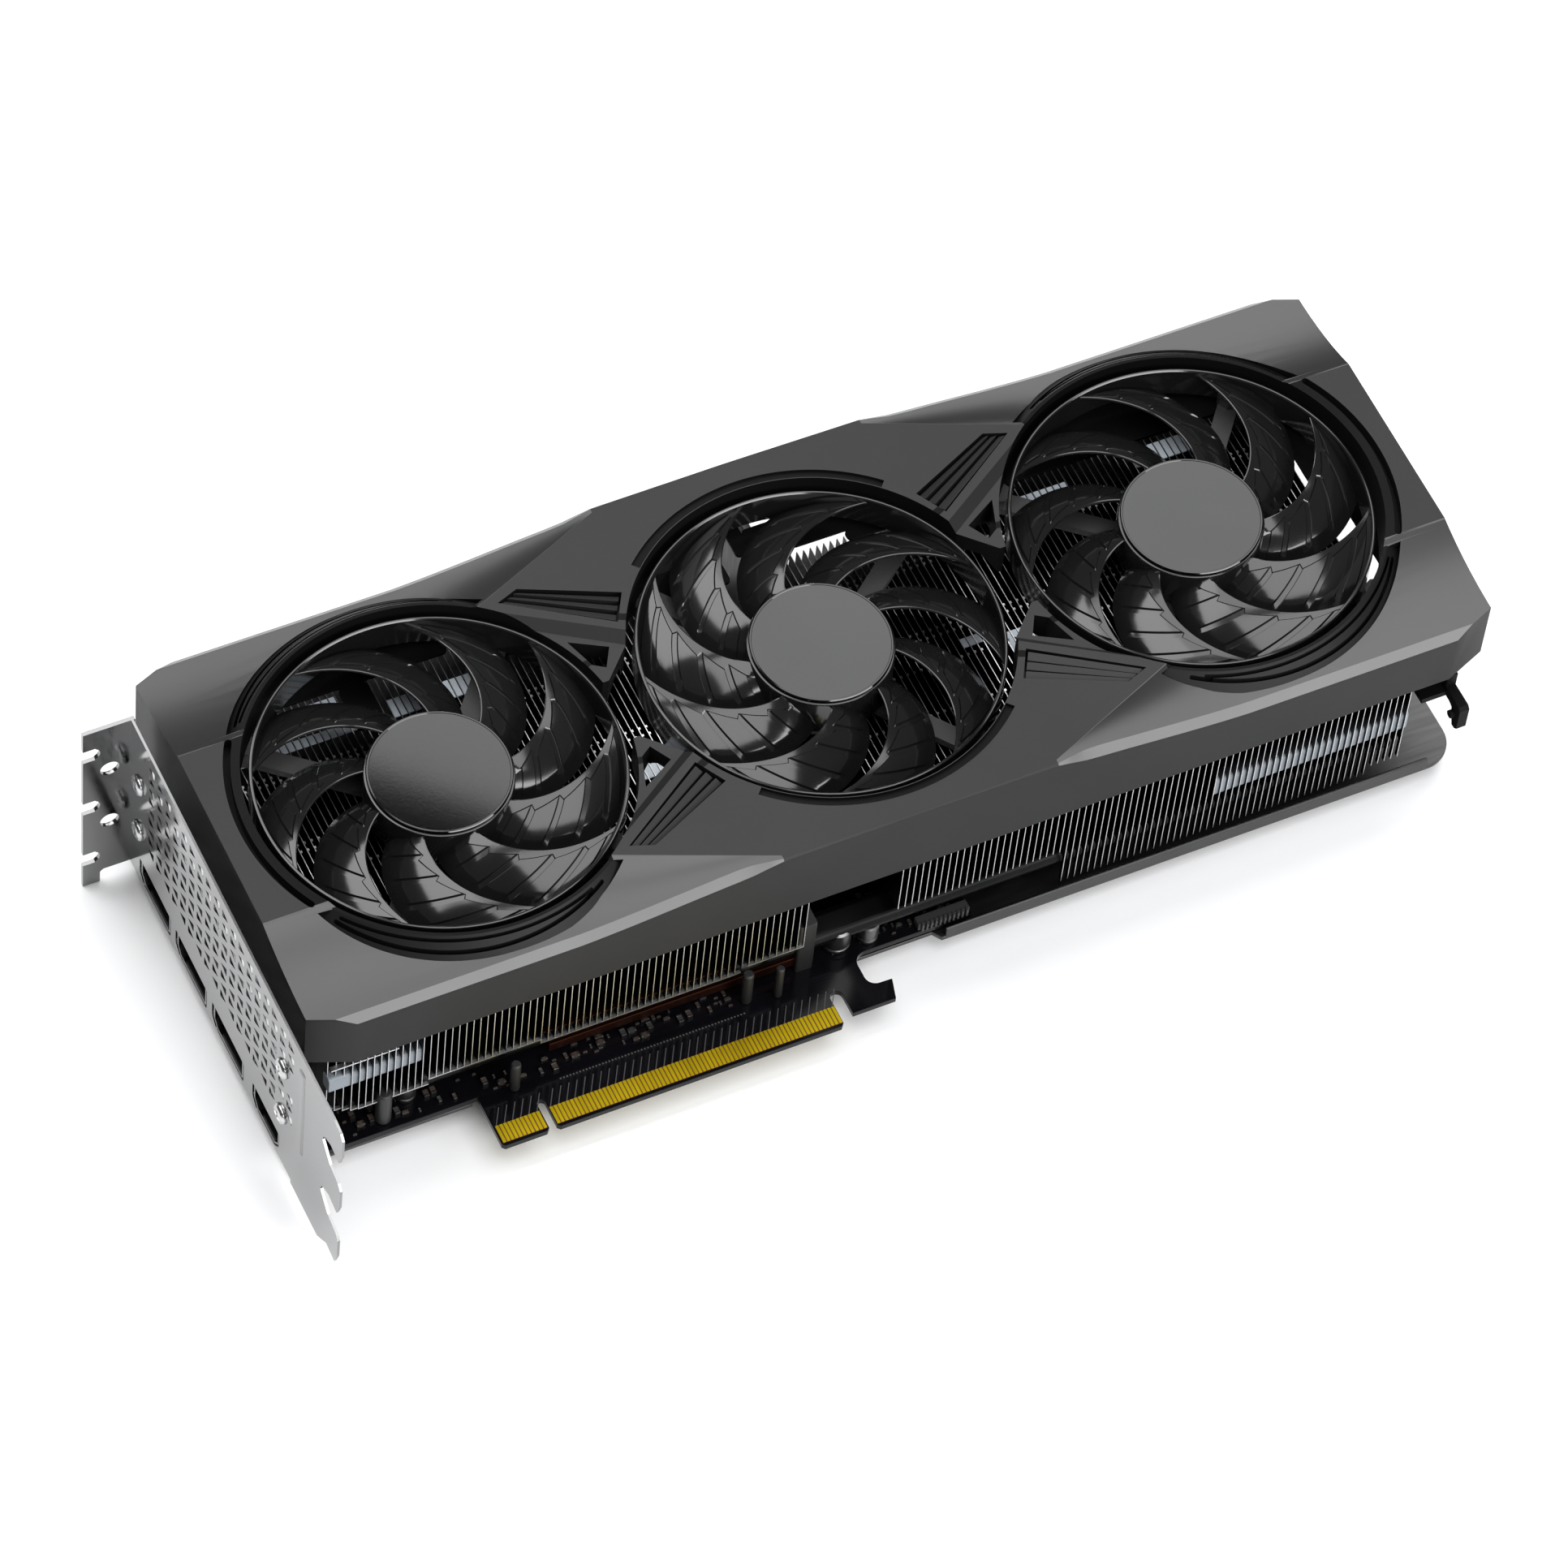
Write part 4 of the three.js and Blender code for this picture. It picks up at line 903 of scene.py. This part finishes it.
def build_standoffs():
    """Plastic posts under the cooler, metal cans, and a comb-shaped socket at the far end."""
    posts = Shape()
    for x, y, radius, top in POSTS:
        profile = [(radius * 0.7, BOARD_TOP), (radius, BOARD_TOP + 0.5)]
        profile += [(radius, top - 0.4), (radius * 0.8, top)]
        posts.turned(profile, x, y, 24)
    posts.prism(rounded([(31, 17), (35.5, 17), (35.5, 24), (31, 24)], 0.8), BOARD_TOP, 19)
    add_piece("board_posts", posts, CONNECTOR_PLASTIC, "connector_plastic", edge=0.2)
    cans = Shape()
    for x, y, radius, top in CANS:
        profile = [(radius * 0.9, BOARD_TOP + 0.1), (radius, 1.4), (radius, 2.2), (radius * 0.93, 2.5),
                   (radius, 2.8), (radius, top - 0.5), (radius * 0.86, top)]
        cans.turned(profile, x, y, 40)
    tin = new_object("board_cans", cans, TIN)
    shade(tin, 35)
    settle(tin, "card", "steel")
    comb = Shape().box(62, 75, 16.8, 19.2, BOARD_TOP, 3.2)
    teeth, pitch = 11, 1.12
    for i in range(teeth):
        x = 62.6 + i * pitch
        comb.box(x, x + 0.5, 16.0, 17.0, 1.2, 3.6)
    add_piece("board_socket", comb, CHIP, "chip", edge=0.1)


def build_board():
    laminate = Shape().prism(board_outline(), -BOARD_TOP, BOARD_TOP)
    add_piece("board_laminate", laminate, SOLDER_MASK, "board", "circuit_board", edge=0.12)
    build_contacts()
    build_tracks()
    scatter_parts()
    build_standoffs()


# -------------------- slot bracket

BRACKET_X, SHEET = -95.0, 0.6
SLOT_PITCH = 20.32
TONGUE = [(-3.5, -2.3), (-7, -0.9), (-11.5, -1.8), (-12.8, 2.3), (-12.8, 8.5), (-11.5, 10), (-7, 11.2),
          (-2.7, 15.5)]
EDGE_TOP, EDGE_BOTTOM = 51.3, -3.9
VENT_COLUMNS, VENT_ROWS, VENT_PITCH_Y, VENT_PITCH_Z = 18, 9, 4.65, 4.0
NOTCH_RADIUS, NOTCH_CENTRE, FLANGE_END = 2.15, -104.55, -106.6      # slots in the flange
PORTS = [(27.3, 15.0), (49.0, 18.2), (70.2, 18.2), (91.3, 18.2)]
PORT_Z, PORT_HALF, PORT_DEPTH = 0.9, 3.7, 13.5
SCREWS = [(19, 33.2), (19, 14.8), (101.3, 32.4), (101.3, 14.6)]


def bracket_edge():
    edge = [(107.1, EDGE_TOP), (107.1, EDGE_BOTTOM), (13, EDGE_BOTTOM), (13, -5.2), (-2, -5.2)]
    for slot in range(3):
        tongue = [(y, z + slot * SLOT_PITCH) for y, z in TONGUE]
        edge += tongue[1 if slot == 0 else 0:6 if slot == 2 else 8]
    return edge + [(-8, EDGE_TOP)]


def vent_holes():
    holes = []
    for column in range(VENT_COLUMNS):
        for row in range(VENT_ROWS):
            y, z = 15 + column * VENT_PITCH_Y, 14.7 + row * VENT_PITCH_Z
            if any(math.dist((y, z), screw) < 5 for screw in SCREWS):
                continue
            point = 1 if (column + row) % 2 else -1
            corners = [(y - point * 1.55, z - 1.45), (y + point * 1.7, z), (y - point * 1.55, z + 1.45)]
            holes.append(rounded(corners, 0.35, 2))
    return holes


def port_window(y, width):
    """Mouth of a video port; the three wide ones have one lower corner cut, the first has both."""
    low, high = PORT_Z - PORT_HALF, PORT_Z + PORT_HALF
    left, right = y - width / 2, y + width / 2
    left_cut = 2.2 if width < 16 else 0.6
    return [(left, high), (left, low + left_cut), (left + left_cut, low), (right - 2.4, low),
            (right, low + 2.4), (right, high)]


def flange_outline():
    """Outline in (x, z) of the flange that is screwed down, with an open slot over each tongue."""
    points = [(-94, EDGE_TOP), (-94, EDGE_BOTTOM), (-101.6, EDGE_BOTTOM), (-102.4, -4.7), (-102.4, -8.4),
              (FLANGE_END, -8.4)]
    for slot in range(3):
        z = 2 + slot * SLOT_PITCH
        points += [(FLANGE_END, z - NOTCH_RADIUS), (-103.6, z - NOTCH_RADIUS)]
        points += arc(NOTCH_CENTRE, z, NOTCH_RADIUS, -60, 60, 6)
        points += [(-103.6, z + NOTCH_RADIUS), (FLANGE_END, z + NOTCH_RADIUS)]
    return points + [(FLANGE_END, EDGE_TOP)]


def build_bracket():
    x0, x1 = BRACKET_X, BRACKET_X + SHEET
    bracket = new_object("bracket_sheet", Shape().prism_x(bracket_edge(), x0, x1), STEEL)
    holes = Shape()
    for hole in vent_holes():
        holes.prism_x(hole, x0 - 1, x1 + 1)
    for y, width in PORTS:
        holes.prism_x(rounded(port_window(y, width), 0.5, 2), x0 - 1, x1 + 1)
    combine(bracket, holes, "DIFFERENCE")
    combine(bracket, Shape().prism_y(flange_outline(), 106.1, 107.1), "UNION")
    round_holes = Shape()
    for z in (14.9, 35.3):
        round_holes.prism_y(circle(-100.1, z, 2.3), 104, 109)
    combine(bracket, round_holes, "DIFFERENCE")
    soften(bracket, 0.18)
    settle(bracket, "card", "steel", "io_bracket")

    rings = []
    for x, inset in ((x0 + 0.02, 0), (x0 - 0.35, 0.6)):
        near, far, low, high = 7.2 + inset, 10.4 - inset, 13.8 + inset, 46 - inset
        rings.append([(x, near, low), (x, far, low), (x, far, high), (x, near, high)])
    add_piece("bracket_rib", Shape().loft(rings), STEEL, "steel", edge=0.15)


def build_port(index, y, width):
    """Stamped shell behind the window, with a plain tongue in its mouth."""
    x0 = BRACKET_X + 0.15
    window = port_window(y, width)
    middle = (y, PORT_Z)
    outer = [mix(middle, p, 0.93) for p in window]
    inner = [mix(middle, p, 0.86) for p in window]
    end = x0 + PORT_DEPTH
    loops = [(x0, outer), (end, outer), (end, inner), (x0, inner)]
    shell = Shape().loft([[(x, *p) for p in loop] for x, loop in loops], closed=True)
    back = Shape().prism_x(inner, x0 + 11, x0 + 12)
    add_piece(f"port_{index}_shell", shell.join(back), STEEL, "steel", f"video_port_{index}", edge=0.12)
    half = width / 2 - 3.2
    tongue = Shape().box(x0 + 1.2, x0 + 11.5, y - half, y + half, PORT_Z - 0.6, PORT_Z + 0.6)
    add_piece(f"port_{index}_tongue", tongue, CONNECTOR_PLASTIC, "connector_plastic", edge=0.2)


def build_screws():
    profile = [(0.3, 0.0), (1.3, 0.0), (2.65, 0.05), (2.6, 0.45), (2.2, 0.95), (1.4, 1.15), (0.3, 1.2)]
    for i, (y, z) in enumerate(SCREWS, 1):
        head = Shape().turned(profile, segments=40)
        screw = new_object(f"bracket_screw_{i}_head", head, SCREW_STEEL)
        cross = Shape().box(-1.5, 1.5, -0.28, 0.28, 0.5, 3).box(-0.28, 0.28, -1.5, 1.5, 0.5, 3)
        combine(screw, cross, "DIFFERENCE", crossing=True)
        soften(screw, 0.07)
        place = Matrix.Translation(Vector((BRACKET_X, y, z)) * MM)
        screw.data.transform(place @ Matrix.Rotation(math.radians(-90), 4, "Y"))
        settle(screw, "card", "steel", f"bracket_screw_{i}")


# -------------------- backplate and tail

def build_backplate():
    outline = [(-90, 14.8), (-50, 14.8), (-48.6, 17), (66, 17), (67.5, 14.8)]
    outline += arc(194, 22.8, 8, -90, 0, 12) + arc(194, 109.4, 8, 0, 90, 12) + [(-90, 117.4)]
    plate = new_object("backplate_sheet", Shape().prism(outline, -3.6, -2.4), DARK_METAL)
    slots = Shape()
    left, right, radius, pitch = 114.2, 179.8, 4.2, 12.8
    for i in range(6):
        y = 34 + i * pitch
        slots.prism(arc(right, y, radius, -90, 90, 12) + arc(left, y, radius, 90, 270, 12), -5, 0)
    combine(plate, slots, "DIFFERENCE")
    lip = [(14.8, -3.5), (16.0, -3.5), (16.0, -0.2), (15.6, 0.4), (15.1, 0.4), (14.8, 0.1)]
    combine(plate, Shape().prism_x(lip, 68.5, 193.5), "UNION")
    soften(plate, 0.25)
    settle(plate, "card", "dark_metal", "backplate")


def build_tail():
    """Black angle at the far end; an arm under it reaches forward and ends in a hook."""
    left, right, front, low, high = 196.2, 198.7, 10.9, 21.4, 23.9
    angle = [(196.4, 27.5), (201.5, 27.5), (201.5, 28.7), (197.6, 28.7), (197.6, 33.9), (196.4, 33.9)]
    tail = new_object("tail_bracket", Shape().prism_y(angle, 20, 108), RIM_PLASTIC)
    combine(tail, Shape().box(left, right, 18, 26, low, 28), "UNION")
    hook = [(26, low), (26, high), (front + 0.8, high), (front, high - 0.8), (front, 16.5),
            (front + 0.9, 15.7), (front + 2.1, 15.7), (front + 3.6, low - 0.6), (front + 5, low)]
    combine(tail, Shape().prism_x(hook, left + 0.01, right - 0.01), "UNION")
    combine(tail, Shape().box(189.8, left + 1, 17.5, 21.5, low + 0.01, low + 1.6), "UNION")
    combine(tail, Shape().prism_x(circle(front + 2.6, 19.4, 1.0, 24), left - 0.9, left + 1), "UNION")
    soften(tail, 0.3)
    settle(tail, "card", "dark_metal", "tail_support")


# -------------------- CAD pieces that stay

def finish_cad_pieces():
    """Carried-over CAD solids get finished materials and rounded edges."""
    finishes = {
        "frame": STRUT_PLASTIC, "shaft": SCREW_STEEL, "magnet": FERRITE, "bearing": COPPER, "stator": COPPER,
        "heat_pipe": PIPE_METAL, "cold_plate": COPPER, "gpu_package": SOLDER_MASK, "gpu_die": SILICON,
        "memory_chip": CHIP, "choke": FERRITE, "power_connector": CONNECTOR_PLASTIC,
    }
    for name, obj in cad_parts.items():
        for word, material in finishes.items():
            if word in name:
                obj.data.materials.clear()
                obj.data.materials.append(material)
                weld = obj.modifiers.new("weld", "WELD")
                weld.merge_threshold = 0.00001
                flat = obj.modifiers.new("flat", "DECIMATE")
                flat.decimate_type = "DISSOLVE"
                flat.angle_limit = math.radians(1)
                bevel = obj.modifiers.new("bevel", "BEVEL")
                bevel.width = 0.15 * MM
                bevel.segments = 2
                bevel.angle_limit = math.radians(35)


# -------------------- stage

FLOOR_HALF, FLOOR_HEIGHT = 6.0, -0.0086                             # metres, like all of the stage
FLAG_HEIGHT = 0.93
FLAG_CORNERS = [(0.176, 0.663), (0.287, 0.552), (0.189, 0.454), (0.078, 0.565)]


def add_sheet(name, corners, height, material):
    """Flat stage piece that isn't part of the card."""
    mesh = bpy.data.meshes.new(name)
    mesh.from_pydata([(x, y, height) for x, y in corners], [], [(0, 1, 2, 3)])
    mesh.materials.append(material)
    sheet = bpy.data.objects.new(name, mesh)
    bpy.context.scene.collection.objects.link(sheet)
    return sheet


def matt(name, scale, dark, light, roughness):
    n = Nodes(name)
    colour = n.ramp(n.noise(scale, 2), [(0.3, grey(dark)), (0.7, grey(light))])
    return n.set(Base_Color=colour, Roughness=roughness)


def build_stage():
    """White floor, and a black card under the key light whose reflection darkens the first hub disc."""
    half = FLOOR_HALF
    corners = [(-half, -half), (half, -half), (half, half), (-half, half)]
    add_sheet("floor", corners, FLOOR_HEIGHT, matt("floor_white", 3, 0.93, 0.95, 0.9))
    flag = add_sheet("flag", FLAG_CORNERS, FLAG_HEIGHT, matt("flag_black", 9, 0.001, 0.002, 1.0))
    flag.visible_camera = False


def add_light(name, location, target, size_x, size_y, radiance):
    light = bpy.data.lights.new(name, "AREA")
    light.shape = "RECTANGLE"
    light.size, light.size_y = size_x, size_y
    light.energy = radiance * math.pi * size_x * size_y
    obj = bpy.data.objects.new(name, light)
    bpy.context.scene.collection.objects.link(obj)
    obj.location = location
    obj.rotation_euler = (Vector(target) - Vector(location)).to_track_quat("-Z", "Y").to_euler()
    obj.visible_camera = False


def build_lights():
    add_light("key_overhead", (0.35, 0.55, 0.95), (0.35, 0.55, 0), 1.2, 0.86, 3.1)
    add_light("key_left", (-0.57, 0.72, 0.95), (-0.57, 0.72, 0), 0.64, 1.2, 4.4)
    add_light("key_front", (0.08, -0.3, 0.95), (0.08, -0.3, 0), 0.8, 0.7, 3.5)
    add_light("key_back_right", (0.78, 1.08, 0.95), (0.78, 1.08, 0), 0.7, 0.4, 3.6)
    add_light("strip_front", (0.52, -1.31, 0.84), (0.05, 0.0, 0.05), 1.7, 0.55, 8.0)
    world = bpy.data.worlds.new("studio")
    bpy.context.scene.world = world
    world.use_nodes = True
    tree = world.node_tree
    background = tree.nodes["Background"]
    path = tree.nodes.new("ShaderNodeLightPath")
    level = tree.nodes.new("ShaderNodeMapRange")
    level.inputs["To Min"].default_value = 0.08
    level.inputs["To Max"].default_value = 1.0
    tree.links.new(path.outputs["Is Camera Ray"], level.inputs["Value"])
    tree.links.new(level.outputs[0], background.inputs["Strength"])
    background.inputs["Color"].default_value = (1, 1, 1, 1)
    bpy.context.scene.view_settings.view_transform = "Standard"


def build_camera():
    """Long lens, looking down from the front left, slightly rolled."""
    azimuth, elevation, roll = (math.radians(a) for a in (-30.94, 54.93, 7.1))
    back = Vector((math.sin(azimuth) * math.cos(elevation), -math.cos(azimuth) * math.cos(elevation),
                   math.sin(elevation)))
    across = Vector((math.cos(azimuth), math.sin(azimuth), 0))
    up = back.cross(across)
    right = across * math.cos(roll) + up * math.sin(roll)
    top = up * math.cos(roll) - across * math.sin(roll)
    data = bpy.data.cameras.new("camera")
    data.lens, data.sensor_width = 184.5, 36
    data.clip_end = 50
    camera = bpy.data.objects.new("camera", data)
    bpy.context.scene.collection.objects.link(camera)
    turn = Matrix((right, top, back)).transposed().to_4x4()
    camera.matrix_world = Matrix.Translation((-0.4970, -0.8487, 1.5190)) @ turn
    bpy.context.scene.camera = camera


# -------------------- build

build_shroud()
build_louvres()
for fan in FANS:
    build_rotor(fan)
for stack in STACKS:
    build_stack(stack)
build_tabs()
build_front_pipes()
build_board()
build_bracket()
for index, (y, width) in enumerate(PORTS, 1):
    build_port(index, y, width)
build_screws()
build_backplate()
build_tail()
finish_cad_pieces()
build_stage()
build_lights()
build_camera()
